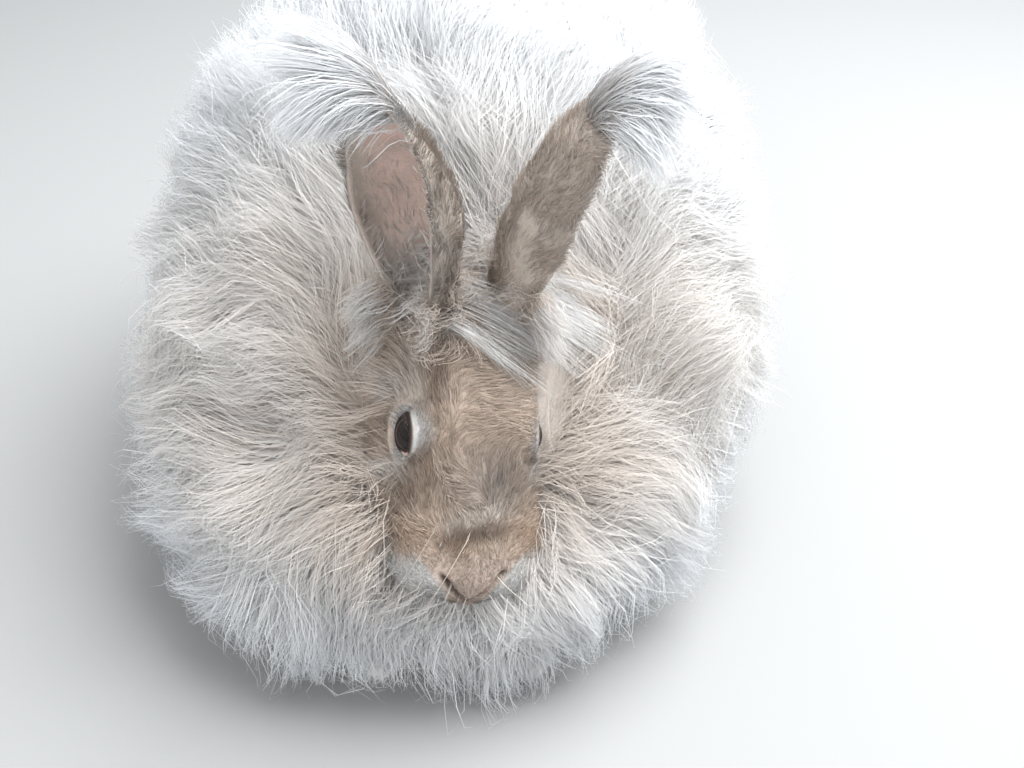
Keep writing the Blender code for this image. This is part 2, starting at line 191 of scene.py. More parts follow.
WHITE = srgb(253, 253, 253)
# a cool white; on the top and the low front of the coat its blue tint is painted light
BLUE_WHITE = srgb(247, 250, 254)
CREAM = srgb(250, 248, 245)
BEIGE = srgb(246, 241, 236)
UNDER_TAN = srgb(240, 229, 220)
CHEEK_TAN = srgb(230, 217, 206)
PEACH = srgb(226, 205, 188)
PAD_GREY = srgb(214, 213, 211)
FAWN = srgb(206, 186, 170)
DARK_FAWN = srgb(154, 133, 116)
BROWN = srgb(116, 96, 82)
LILAC_GREY = srgb(156, 146, 140)
RUST = srgb(180, 153, 131)
ROSE = srgb(194, 175, 163)
# pale pink skin; on the inside of the ears it is also painted paler, as painted light shining through them
ROSE_SKIN = srgb(245, 214, 201)
EAR_GREY = srgb(204, 191, 180)
PLUME_GREY = srgb(186, 188, 192)
# painted shade in the grooves of the face
GROOVE_SHADE = srgb(78, 62, 56)
LID = srgb(36, 30, 29)


# The head's own axes: along it from nose to crown, out to its left, up from its bridge

def head_frame():
    """The tip of the nose, the head's axes as rows, and the middles of the eyes."""
    up = Vector((0, -sin(FACE_SLOPE), cos(FACE_SLOPE)))
    along = Matrix.Rotation(-FACE_LEAN, 3, up) @ Vector((0, cos(FACE_SLOPE), sin(FACE_SLOPE)))
    left = along.cross(up).normalized()
    turn = Matrix.Rotation(FACE_TURN, 3, along)
    axes = np.array(Matrix((along, turn @ left, turn @ up)))
    middles = []
    for name in ("eye_left", "eye_right"):
        low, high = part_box(name)
        middles.append((np.array(low) + np.array(high)) / 2)
    between = (middles[0] + middles[1]) / 2
    nose = between - np.array([EYE_ALONG, 0.0, -EYE_BELOW]) @ axes
    return nose, axes, middles


NOSE, HEAD_AXES, EYE_MIDDLES = head_frame()
EYE_FACINGS = [
    unit(np.array([0.0, side * cos(EYE_FACING_UP), sin(EYE_FACING_UP)]) @ HEAD_AXES) for side in (1, -1)
]
EYES = list(zip(EYE_MIDDLES, EYE_FACINGS))  # the left one, then the right one


def to_head(places):
    return (places - NOSE) @ HEAD_AXES.T


def from_head(places):
    return NOSE + np.asarray(places) @ HEAD_AXES


HEAD_WIDTH_AT = smooth_curve(
    (0.0, 0.10), (0.03, 0.40), (0.09, 0.70), (0.17, 0.82), (0.27, 0.84), (0.46, 0.95),
    (0.62, 1.0), (0.76, 0.98), (0.88, 0.84), (0.96, 0.55), (1.0, 0.15),
)
HEAD_BRIDGE_AT = smooth_curve(
    (0.0, -0.20), (0.03, -0.10), (0.09, -0.030), (0.18, 0.0), (0.35, 0.020), (0.60, 0.040),
    (0.78, 0.020), (0.90, -0.090), (0.97, -0.260), (1.0, -0.40),
)
HEAD_JAW_AT = smooth_curve(
    (0.0, -0.32), (0.03, -0.42), (0.10, -0.56), (0.25, -0.70), (0.50, -0.88), (0.70, -0.96),
    (0.86, -0.93), (0.96, -0.76), (1.0, -0.55),
)
HEAD_FUR_DEPTH = smooth_curve(
    (0.0, 0.0006), (0.12, 0.0016), (0.35, 0.0024), (0.6, 0.0034), (0.85, 0.0060), (1.0, 0.0080)
)
HEAD_SQUARENESS = 2.25


def head_depth_inside(places):
    """1 on the CAD head's surface, less inside it, more outside."""
    local = to_head(places)
    share = local[..., 0] / HEAD_LENGTH
    inside = np.clip(share, 0, 1)
    half_width = HEAD_HALF_WIDTH * HEAD_WIDTH_AT(inside)
    top = HEAD_DEPTH * HEAD_BRIDGE_AT(inside)
    bottom = HEAD_DEPTH * HEAD_JAW_AT(inside)
    sideways = np.abs(local[..., 1]) / half_width
    upright = np.abs(local[..., 2] - (top + bottom) / 2) / ((top - bottom) / 2)
    value = (sideways ** HEAD_SQUARENESS + upright ** HEAD_SQUARENESS) ** (1 / HEAD_SQUARENESS)
    beyond = np.maximum(share - 1, -share)
    return value + np.maximum(beyond, 0) * 8


FACE_MIDLINE = -0.0025  # the face's own middle, to its right of the head's axis


def face_colour(local, depth):
    """The colour of the short face fur at places in the head's axes. depth is 0 at a root, 1 at a tip."""
    a = local[..., 0]
    side = local[..., 1] - FACE_MIDLINE
    up = local[..., 2]
    out = np.abs(side)
    speckle = drift(local, 0.005)[..., 0]
    patches = drift(local, 0.026)[..., 1]
    below_bridge = step(up, -0.030, -0.018)
    beside_nose = out - 0.8 * a
    colour = layered(
        FAWN,
        (DARK_FAWN, share_of(0.22 + 0.22 * patches + 0.22 * speckle)),
        (LILAC_GREY * 0.85, 0.85 * bump(a, 0.047, 0.013) * bump(side, 0.009, 0.014)),
        (PEACH, 0.50 * step(a, 0.060, 0.080)),
        # painted shadow: a brown band along the furrow beside the forehead, on the face's right side only
        (BROWN, 0.75 * bump(a - 0.089 - 1.6 * (side + 0.016), 0.0, 0.020) * bump(side, -0.0155, 0.0055)),
        (BEIGE, 0.30 * bump(side, -0.0225, 0.0035) * step(a, 0.060, 0.075)),
        (PEACH, 0.75 * step(up, -0.014, -0.034)),
        (PEACH, 0.60 * step(a, 0.098, 0.116)),
        (WHITE, 0.9 * bump(a, 0.088, 0.006) * bump(out, 0.0300, 0.0040) * below_bridge),
    )
    for middle in EYE_MIDDLES:
        distance = np.linalg.norm(local - to_head(middle), axis=-1)
        colour = mix(colour, WHITE, 0.75 * bump(distance, 0.0100, 0.0021))
    colour = layered(
        colour,
        (CREAM, 0.7 * bump(a, 0.053, 0.005) * bump(out, 0.0280, 0.0045)),
        (PAD_GREY, 0.85 * step(a, 0.036, 0.022) * step(up, -0.010, -0.020)),
        (RUST, 0.50 * bump(a, 0.0285, 0.0055) * step(out, 0.010, 0.018) * step(up, -0.030, -0.014)),
        # painted light on the fold across the bridge: paler on its ridge as a painted highlight, brown in the
        # dip in front of it as painted shade
        (CREAM, 0.22 * bump(a, 0.0345 + 0.25 * side, 0.0032) * step(out, 0.015, 0.009)),
        (BROWN, 0.60 * bump(a, 0.0275 + 0.20 * side, 0.0034) * step(out, 0.017, 0.011)),
        (ROSE, 0.85 * step(a, 0.023, 0.016) * step(beside_nose, 0.0045, 0.0010)),
        (PAD_GREY, 0.85 * step(a, 0.024, 0.016) * step(beside_nose, 0.0020, 0.0060)),
    )
    return colour * (0.80 + 0.12 * depth)[..., None]


def from_segment(places, start, end):
    """How far each place is from a straight stretch."""
    start = np.array(start)
    way = np.array(end) - start
    share = share_of(((places - start) @ way) / (way @ way))
    return np.linalg.norm(places - start - share[..., None] * way, axis=-1)


def from_head_axis(places):
    return from_segment(places, from_head((0.020, 0.0, -0.020)), from_head((0.125, 0.0, -0.030)))


def coat_colour(places, depth, lock):
    """The colour of the long coat at places. depth is 0 at the skin, 1 at a tip, lock is -1 to 1."""
    y = places[..., 1]
    height = places[..., 2]
    from_axis = from_head_axis(places)
    cheek = step(from_axis, 0.088, 0.042) * step(y, -0.070, -0.105)
    # low is the front near the floor and high the top of the back: the coat is white there, and its cool
    # blue-white tint is painted light, the cool sky light on the top and the cool shade on the low front
    low = step(height, 0.11, 0.05) * step(y, 0.0, -0.08)
    high = step(height, 0.10, 0.22) * step(y, -0.10, 0.00)
    mane = step(from_axis, 0.150, 0.070) * (1 - low) * (1 - high)
    warm = share_of(0.5 + 0.6 * drift(places, 0.09)[..., 0])
    tip = layered(
        CREAM,
        (WHITE, share_of(0.55 + 0.6 * high + 0.35 * lock)),
        (BEIGE, np.clip((0.35 * warm + 0.12 * lock) * (1 - high), 0, 0.6)),
        (CHEEK_TAN, share_of(0.85 * cheek + 0.15 * lock * cheek)),
        (CHEEK_TAN, share_of(0.30 * mane * (0.6 + 0.8 * warm))),
        (BLUE_WHITE, share_of(0.6 * high + 0.8 * low)),
    )
    root = layered(
        UNDER_TAN,
        (BEIGE, share_of(0.3 + 0.4 * warm + 0.3 * lock)),
        (CHEEK_TAN, 0.75 * mane),
        (WHITE, share_of(0.75 * high + 0.7 * low)),
    )
    return mix(root, tip, step(depth, 0.35, 0.85))


# Materials

def new_material(name, settings):
    """A material, with settings for its shader's own sockets."""
    material = bpy.data.materials.new(name)
    material.use_nodes = True
    shader = material.node_tree.nodes["Principled BSDF"]
    for socket, value in settings.items():
        shader.inputs[socket].default_value = value
    return material, material.node_tree, shader


def add_node(tree, kind, **values):
    """A node with its own settings, or else its inputs, given by name."""
    node = tree.nodes.new(kind)
    for name, value in values.items():
        if hasattr(node, name):
            setattr(node, name, value)
        else:
            node.inputs[name.replace("_", " ").title()].default_value = value
    return node


def link_all(tree, *pairs):
    for outlet, inlet in pairs:
        tree.links.new(outlet, inlet)


def fine_noise(tree, scale, detail):
    """Noise that is fixed to the piece."""
    places = add_node(tree, "ShaderNodeTexCoord")
    noise = add_node(tree, "ShaderNodeTexNoise", scale=scale, detail=detail)
    tree.links.new(places.outputs["Object"], noise.inputs["Vector"])
    return noise.outputs["Fac"]


def hair_material(name, through, roughness, specular):
    """Hair in its own painted colour, which lets part of the light through."""
    material, tree, shader = new_material(name, {"Roughness": roughness, "Specular IOR Level": specular})
    paint = add_node(tree, "ShaderNodeAttribute", attribute_name="coat_colour")
    behind = add_node(tree, "ShaderNodeBsdfTranslucent")
    blend = add_node(tree, "ShaderNodeMixShader")
    blend.inputs[0].default_value = through
    output = tree.nodes["Material Output"]
    link_all(
        tree,
        (paint.outputs["Color"], shader.inputs["Base Color"]),
        (paint.outputs["Color"], behind.inputs["Color"]),
        (shader.outputs[0], blend.inputs[1]),
        (behind.outputs[0], blend.inputs[2]),
        (blend.outputs[0], output.inputs["Surface"]),
    )
    return material


def skin_material():
    """Soft skin in its own painted colour, broken up a little by fine noise."""
    material, tree, shader = new_material("rabbit_skin", {
        "Roughness": 0.62, "Specular IOR Level": 0.3, "Subsurface Weight": 0.15, "Subsurface Scale": 0.002,
    })
    noise = fine_noise(tree, 900.0, 3.0)
    paint = add_node(tree, "ShaderNodeAttribute", attribute_name="coat_colour")
    levels = add_node(tree, "ShaderNodeMapRange", from_min=0.25, from_max=0.75, to_min=0.9, to_max=1.1)
    scaled = add_node(tree, "ShaderNodeVectorMath", operation="SCALE")
    relief = add_node(tree, "ShaderNodeBump", strength=0.35, distance=0.0004)
    link_all(
        tree,
        (noise, levels.inputs["Value"]),
        (paint.outputs["Color"], scaled.inputs[0]),
        (levels.outputs["Result"], scaled.inputs["Scale"]),
        (scaled.outputs["Vector"], shader.inputs["Base Color"]),
        (noise, relief.inputs["Height"]),
        (relief.outputs["Normal"], shader.inputs["Normal"]),
    )
    return material


def eye_material():
    material, tree, shader = new_material("rabbit_eye", {"Roughness": 0.05, "Specular IOR Level": 0.35})
    ramp = add_node(tree, "ShaderNodeValToRGB")
    ramp.color_ramp.elements[0].color = (0.004, 0.003, 0.003, 1)
    ramp.color_ramp.elements[1].color = (0.018, 0.011, 0.008, 1)
    tree.links.new(fine_noise(tree, 450.0, 2.0), ramp.inputs["Fac"])
    tree.links.new(ramp.outputs["Color"], shader.inputs["Base Color"])
    return material


# Meshes from arrays

def object_from(name, mesh, material):
    obj = bpy.data.objects.new(name, mesh)
    bpy.context.scene.collection.objects.link(obj)
    if material is not None:
        mesh.materials.append(material)
    return obj


def paint(mesh, colours):
    layer = mesh.attributes.new("coat_colour", "FLOAT_COLOR", "POINT")
    rgba = np.ones((len(mesh.vertices), 4), np.float32)
    rgba[:, :3] = colours
    layer.data.foreach_set("color", rgba.ravel())


def ball_mesh(name, places, around, up, radius):
    """Spheres at places, given as matrices, in one mesh."""
    bm = bmesh.new()
    for place in places:
        bmesh.ops.create_uvsphere(bm, u_segments=around, v_segments=up, radius=radius, matrix=place)
    mesh = bpy.data.meshes.new(name)
    bm.to_mesh(mesh)
    bm.free()
    mesh.shade_smooth()
    return mesh


def triangle_arrays(mesh):
    """The corners of a mesh's triangles, and their normals, whose lengths go with their areas."""
    points, faces = mesh_arrays(mesh)
    corners = points[faces]
    return corners, np.cross(corners[:, 1] - corners[:, 0], corners[:, 2] - corners[:, 0])


def face_outwards(mesh, centre):
    """Turns a mesh inside out if more of it faces centre than looks away from it."""
    corners, normals = triangle_arrays(mesh)
    if ((corners.mean(1) - centre) * normals).sum() < 0:
        mesh.flip_normals()


def grid_mesh(name, rows, closed_ends=True, centre=None):
    """A tube through rows of points: rows is (rings, sides, 3)."""
    rings, sides, _ = rows.shape
    i, k = np.meshgrid(np.arange(rings - 1), np.arange(sides), indexing="ij")
    j = (k + 1) % sides
    quads = np.stack([i * sides + k, i * sides + j, (i + 1) * sides + j, (i + 1) * sides + k], -1)
    faces = quads.reshape(-1, 4).tolist()
    if closed_ends:
        faces.append(list(range(sides - 1, -1, -1)))
        faces.append(list(range((rings - 1) * sides, rings * sides)))
    mesh = bpy.data.meshes.new(name)
    mesh.from_pydata(rows.reshape(-1, 3).tolist(), [], faces)
    mesh.update()
    face_outwards(mesh, rows.reshape(-1, 3).mean(0) if centre is None else centre)
    mesh.shade_smooth()
    return mesh


def mesh_arrays(mesh):
    """The points of a mesh, and the corners of its triangles."""
    mesh.calc_loop_triangles()
    points = np.empty(len(mesh.vertices) * 3, np.float32)
    mesh.vertices.foreach_get("co", points)
    faces = np.empty(len(mesh.loop_triangles) * 3, np.int32)
    mesh.loop_triangles.foreach_get("vertices", faces)
    return points.reshape(-1, 3).astype(float), faces.reshape(-1, 3)


def tree_of(meshes):
    """One search tree of the triangles of several meshes."""
    points, faces, start = [], [], 0
    for mesh in meshes:
        some, corners = mesh_arrays(mesh)
        points.append(some)
        faces.append(corners + start)
        start += len(some)
    points = np.concatenate(points)
    faces = np.concatenate(faces)
    return BVHTree.FromPolygons(points.tolist(), faces.tolist())


def nearest(tree, places):
    """The nearest points of a surface, and its normals there."""
    spots = np.empty_like(places)
    normals = np.empty_like(places)
    for i, place in enumerate(places):
        spot, normal, _, _ = tree.find_nearest(place)
        spots[i] = spot
        normals[i] = normal
    return spots, normals


def scatter(mesh, count, rng, weight=None):
    """Random places on a mesh, evenly by area times weight. Returns places, normals."""
    corners, normals = triangle_arrays(mesh)
    share = np.linalg.norm(normals, axis=1)
    if weight is not None:
        share = share * weight(corners.mean(1))
    chosen = rng.choice(len(corners), count, p=share / share.sum())
    u, v = rng.random((2, count))
    u, v = np.where(u + v > 1, 1 - u, u), np.where(u + v > 1, 1 - v, v)
    corners = corners[chosen]
    places = corners[:, 0] + u[:, None] * (corners[:, 1] - corners[:, 0])
    places = places + v[:, None] * (corners[:, 2] - corners[:, 0])
    return places, unit(normals[chosen])


# The skin

BODY_LUMPS = (
    # middle, half sizes
    ((-0.002, 0.040, 0.108), (0.090, 0.118, 0.098)),  # back
    ((-0.004, -0.050, 0.092), (0.082, 0.088, 0.078)),  # chest
    ((0.004, -0.092, 0.108), (0.052, 0.052, 0.056)),  # neck
    ((-0.074, 0.056, 0.075), (0.044, 0.066, 0.066)),  # thighs
    ((0.068, 0.056, 0.075), (0.044, 0.066, 0.066)),
    ((-0.091, 0.022, 0.014), (0.015, 0.054, 0.0135)),  # hind feet
    ((0.084, 0.022, 0.014), (0.015, 0.054, 0.0135)),
    ((-0.034, -0.126, 0.040), (0.015, 0.018, 0.038)),  # forelegs
    ((0.034, -0.126, 0.040), (0.015, 0.018, 0.038)),
    ((-0.034, -0.146, 0.013), (0.014, 0.030, 0.0125)),  # forefeet
    ((0.034, -0.146, 0.013), (0.014, 0.030, 0.0125)),
    ((0.0, 0.152, 0.078), (0.017, 0.024, 0.022)),  # tail
)
BODY_VOXEL = 0.003
SKIN_FLOOR = 0.0004


def body_skin():
    """The bare body under the coat: overlapping lumps made one and smoothed."""
    places = [Matrix.Translation(middle) @ Matrix.Diagonal((*half, 1.0)) for middle, half in BODY_LUMPS]
    lumps = object_from("body_lumps", ball_mesh("body_lumps", places, 40, 24, 1.0), None)
    remesh = lumps.modifiers.new("one_surface", "REMESH")
    remesh.mode = "VOXEL"
    remesh.voxel_size = BODY_VOXEL
    smooth = lumps.modifiers.new("smooth", "SMOOTH")
    smooth.factor = 0.6
    smooth.iterations = 8
    graph = bpy.context.evaluated_depsgraph_get()
    made = bpy.data.meshes.new_from_object(lumps.evaluated_get(graph))
    bpy.data.objects.remove(lumps)
    points, _ = mesh_arrays(made)
    points[:, 2] = np.maximum(points[:, 2], SKIN_FLOOR)
    made.vertices.foreach_set("co", points.astype(np.float32).ravel())
    made.shade_smooth()
    paint(made, coat_colour(points, np.zeros(len(points)), np.zeros(len(points))) * 0.8)
    return made


HEAD_RINGS = 170
HEAD_SIDES = 220
SOCKET_RADIUS = 0.0105

# Swellings of the face: middle in the head's axes with the side taken as positive, reach, height
FACE_LUMPS = (
    ((0.074, 0.0190, -0.0030), (0.012, 0.007, 0.008), 0.0016),  # brow over the eye
    ((0.100, 0.0200, -0.0060), (0.016, 0.010, 0.010), 0.0012),  # brow further back
    ((0.050, 0.0320, -0.0420), (0.022, 0.014, 0.018), 0.0030),  # cheek
    ((0.013, 0.0190, -0.0165), (0.010, 0.010, 0.012), 0.0052),  # whisker pad
    ((0.025, 0.0250, -0.0200), (0.011, 0.010, 0.014), 0.0042),  # behind it
    ((0.008, 0.0000, -0.0060), (0.008, 0.008, 0.007), 0.0022),  # nose
    ((0.035, 0.0000, 0.0000), (0.005, 0.012, 0.008), 0.0013),  # fold across the bridge
    ((0.0265, 0.0000, 0.0000), (0.004, 0.012, 0.008), -0.0012),  # dip in front of it
    ((0.068, 0.0000, 0.0020), (0.016, 0.010, 0.008), 0.0010),  # forehead
    ((0.086, 0.0145, 0.0000), (0.016, 0.004, 0.008), -0.0012),  # furrow beside it
)

# Grooves: two ends in the head's axes with the side taken as positive, half width, depth
FACE_GROOVES = (
    ((0.0030, 0.0000, -0.0100), (0.0145, 0.0130, -0.0050), 0.00110, 0.0036),  # nostril slit
    ((0.0036, 0.0000, -0.0088), (-0.0010, 0.0000, -0.0230), 0.00080, 0.0024),  # lip cleft
    ((0.0050, 0.0000, -0.0070), (0.0150, 0.0000, -0.0020), 0.00060, 0.0005),  # crease above it
    ((0.0000, 0.0000, -0.0250), (0.0190, 0.0170, -0.0330), 0.00090, 0.0022),  # mouth
)


def head_skin():
    """The head under its short fur, in rings from the nose to the back of the crown."""
    share = (0.5 - 0.5 * np.cos(pi * np.arange(HEAD_RINGS) / (HEAD_RINGS - 1)))[:, None]
    angle = (2 * pi * np.arange(HEAD_SIDES) / HEAD_SIDES)[None, :]
    fur = HEAD_FUR_DEPTH(share)
    half_width = np.maximum(HEAD_HALF_WIDTH * HEAD_WIDTH_AT(share) - fur, 0.0005)
    top = HEAD_DEPTH * HEAD_BRIDGE_AT(share) - fur
    bottom = HEAD_DEPTH * HEAD_JAW_AT(share) + fur
    across_share = np.abs(np.cos(angle) / half_width) ** HEAD_SQUARENESS
    upright_share = np.abs(np.sin(angle) * 2 / (top - bottom)) ** HEAD_SQUARENESS
    radius = (across_share + upright_share) ** (-1 / HEAD_SQUARENESS)
    along = share * (HEAD_LENGTH - 2 * fur) + fur + 0 * angle
    middle_height = (top + bottom) / 2 + 0 * angle
    local = np.stack([along, radius * np.cos(angle), middle_height + radius * np.sin(angle)], -1)
    outwards = unit(np.cross(np.gradient(local, axis=1), np.gradient(local, axis=0)))
    from_middle = local - np.stack([along, 0 * along, middle_height], -1)
    outwards *= np.sign((from_middle * outwards).sum(-1, keepdims=True) + 1e-9)
    folded = np.stack([along, np.abs(local[..., 1] - FACE_MIDLINE), local[..., 2]], -1)
    height = np.zeros(local.shape[:2])
    for middle, reach, amount in FACE_LUMPS:
        apart = (folded - np.array(middle)) / np.array(reach)
        height += amount * np.exp(-(apart**2).sum(-1))
    # painted shade in the grooves, stronger in the deeper ones
    painted_groove_shade = np.zeros(local.shape[:2])
    for start, end, half, deep in FACE_GROOVES:
        distance = from_segment(folded, start, end)
        height -= deep * np.exp(-((distance / half) ** 2))
        painted_groove_shade = np.maximum(painted_groove_shade, bump(distance, 0.0, 1.1 * half) * min(deep / 0.002, 1))
    local = local + outwards * height[..., None]
    places = from_head(local)
    for middle, facing in EYES:
        ahead, beside = beside_eye(places, middle, facing)
        socket = (1 - step(beside, SOCKET_RADIUS - 0.0015, SOCKET_RADIUS + 0.0015)) * (ahead > 0)
        sunk = np.minimum(ahead, EYE_RADIUS * 0.15)
        places = places - facing * ((ahead - sunk) * socket)[..., None]
    mesh = grid_mesh("head_skin", places)
    flat = local.reshape(-1, 3)
    colours = face_colour(flat, np.zeros(len(flat)))
    # painted shade: the slits, the cleft, the crease and the mouth are darkened
    paint(mesh, mix(colours, GROOVE_SHADE, 0.9 * painted_groove_shade.reshape(-1)))
    return mesh


def beside_eye(places, middle, facing):
    """How far each place is ahead of an eye's middle, and how far to the side of its axis."""
    reach = places - middle
    ahead = reach @ facing
    return ahead, np.linalg.norm(reach - ahead[..., None] * facing, axis=-1)


LID_AROUND = 96
LID_ROWS = 22
# Turn beyond the opening, and height over the eyeball, of the rings of the lids' rims
LID_RIMS = ((-0.06, -0.0003), (-0.02, 0.0002), (0.0, 0.0007), (0.04, 0.0011), (0.09, 0.0013))
LID_REACH = 0.0135
EYE_HALF_LENGTH = 0.0067
EYE_HALF_HEIGHT = 0.0060


def lid_skin(middle, facing, head_tree, side):
    """Both lids of one eye, from inside the rim out to where they run into the head."""
    forward = flatten_on(-HEAD_AXES[0], facing)
    up = np.cross(forward, facing) * side
    if up @ HEAD_AXES[2] < 0:
        up = -up
    around = 2 * pi * np.arange(LID_AROUND) / LID_AROUND
    length = EYE_HALF_LENGTH * (1 + 0.09 * np.abs(np.cos(around)) ** 6)
    height = EYE_HALF_HEIGHT
    opening = length * height / np.hypot(height * np.cos(around), length * np.sin(around))
    opening_angle = np.arcsin(np.clip(opening / EYE_RADIUS, 0, 0.985))
    flat_way = np.cos(around)[:, None] * forward + np.sin(around)[:, None] * up
    spots, _ = nearest(head_tree, middle + flat_way * LID_REACH + facing * 0.0005)
    outer_reach = np.linalg.norm(spots - middle, axis=1)
    outer_aims = unit(spots - middle)
    rows = []
    colours = []
    for turn, lift in LID_RIMS:
        angle = (opening_angle + turn)[:, None]
        inner_aims = np.cos(angle) * facing + np.sin(angle) * flat_way
        rows.append(middle + inner_aims * (EYE_RADIUS + lift))
        shade = 0.25 + 0.5 * step(turn, 0.0, 0.10)
        colours.append(mix(LID, BROWN, np.full(LID_AROUND, shade * 0.4)))
    for share in np.arange(1, LID_ROWS + 1) / LID_ROWS:
        aim = unit(inner_aims * (1 - share) + outer_aims * share)
        reach = EYE_RADIUS + lift + (outer_reach - 0.0004 - EYE_RADIUS - lift) * step(share, 0.0, 1.0)
        rows.append(middle + aim * (reach - 0.0005 * bump(share, 0.22, 0.08))[:, None])
        fur = face_colour(to_head(rows[-1]), np.zeros(LID_AROUND))
        colours.append(mix(mix(LID, BROWN, 0.4), fur, step(share, 0.02, 0.25)))
    pink = step(np.cos(around), 0.90, 0.99)
    for i in range(2, 9):
        colours[i] = mix(colours[i], ROSE_SKIN, 0.8 * pink)
    mesh = grid_mesh("lids", np.array(rows), False, middle)
    paint(mesh, np.concatenate(colours))
    return mesh


# Ears

EAR_WIDTH_AT = smooth_curve(
    (0.0, 0.56), (0.15, 0.66), (0.35, 0.88), (0.55, 1.0), (0.75, 0.97), (0.90, 0.72),
    (0.97, 0.44), (1.0, 0.22),
)
EAR_CUPS = {
    "right": smooth_curve((0.0, 125.0), (0.25, 114.0), (0.5, 104.0), (0.8, 74.0), (1.0, 42.0)),
    "left": smooth_curve((0.0, 118.0), (0.2, 104.0), (0.5, 82.0), (0.8, 64.0), (1.0, 42.0)),
}
EAR_BACK_PAINTED_SHADE = {"right": 0.66, "left": 1.0}  # painted shade: the share of its colour that the back of each ear keeps, the right one darkened as if in shadow
EAR_SKIN_THICKNESS = 0.0016
EAR_FUR_DEPTH = 0.0012
EAR_RINGS = 70
EAR_STEPS = 40
EARS = {
    # base and tip from the tip of the nose, way it opens, half width
    "right": ((-0.0227, 0.0845, 0.0810), (-0.0312, 0.0725, 0.1780), (-0.67, -0.74, 0.0), 0.0240),
    "left": ((0.0113, 0.0915, 0.0850), (0.0448, 0.0805, 0.1750), (0.97, 0.10, -0.20), 0.0225),
}


def ear_place(side, share, turn, level):
    """Places on an ear: share up it, turn from -1 to 1 round its cup, level 0 outside to 1 inside."""
    base, tip, opening, widest = (np.array(v, float) for v in EARS[side])
    base = base + NOSE
    tip = tip + NOSE
    length = np.linalg.norm(tip - base)
    along = (tip - base) / length
    front = flatten_on(opening, along)
    sideways = np.cross(along, front)
    share = np.asarray(share)[..., None]
    turn = np.asarray(turn)[..., None]
    level = np.asarray(level)[..., None]
    inset = EAR_FUR_DEPTH
    place = base + along * (share * (length - inset)) - front * EAR_BEND * 4 * share * (1 - share)
    half_width = widest * EAR_WIDTH_AT(share) - inset
    cup = np.radians(EAR_CUPS[side](share))
    radius = half_width / np.sin(np.minimum(cup, pi / 2))
    centre = place + front * radius * (1 + np.cos(cup)) / 2
    direction = sideways * np.sin(cup * turn) - front * np.cos(cup * turn)
    out = centre + direction * (radius - level * EAR_SKIN_THICKNESS)
    return out, direction, along, front, sideways


def ear_skin(side):
    """The bare ear: its back, then its inside, as one closed shell."""
    share = np.linspace(-0.06, 1.0, EAR_RINGS)[:, None]
    turn = np.linspace(-1, 1, EAR_STEPS)[None, :]
    both = np.concatenate([turn, turn[:, ::-1]], 1) + 0 * share
    level = np.concatenate([0 * turn, 0 * turn + 1], 1) + 0 * share
    places, _, _, _, _ = ear_place(side, share + 0 * both, both, level)
    mesh = grid_mesh("ear_skin", places)
    flat_share = (share + 0 * both).reshape(-1)
    flat_turn = np.abs(both.reshape(-1))
    inside = level.reshape(-1)
    veins = 0.5 + 0.5 * drift(places.reshape(-1, 3), 0.012)[:, 0]
    # the inside: pink skin, painted paler than it is as painted light shining through the ear
    inner = layered(
        ROSE_SKIN,
        (ROSE, 0.1 + 0.4 * veins),
        (EAR_GREY, 0.85 * step(flat_turn, 0.45, 0.95)),
        (EAR_GREY, 0.5 * step(flat_share, 0.70, 1.0)),
        (mix(CREAM, PEACH, 0.5), 0.9 * step(flat_share, 0.42, 0.12)),
    )
    # painted shade: the back of the right ear is darkened as if in shadow
    outer = mix(EAR_GREY, DARK_FAWN, 0.15 * veins) * EAR_BACK_PAINTED_SHADE[side]
    paint(mesh, mix(outer, inner, inside))
    return mesh


def join_meshes(name, meshes, material):
    """One object from several painted meshes."""
    bm = bmesh.new()
    for mesh in meshes:
        bm.from_mesh(mesh)
    whole = bpy.data.meshes.new(name)
    bm.to_mesh(whole)
    bm.free()
    whole.shade_smooth()
    return object_from(name, whole, material)


# Hair

def bezier(controls, times):
    """Points of cubic curves: controls is (n, 4, 3)."""
    t = times[None, :, None]
    a, b, c, d = (controls[:, i : i + 1] for i in range(4))
    return a * (1 - t) ** 3 + 3 * b * t * (1 - t) ** 2 + 3 * c * t * t * (1 - t) + d * t**3


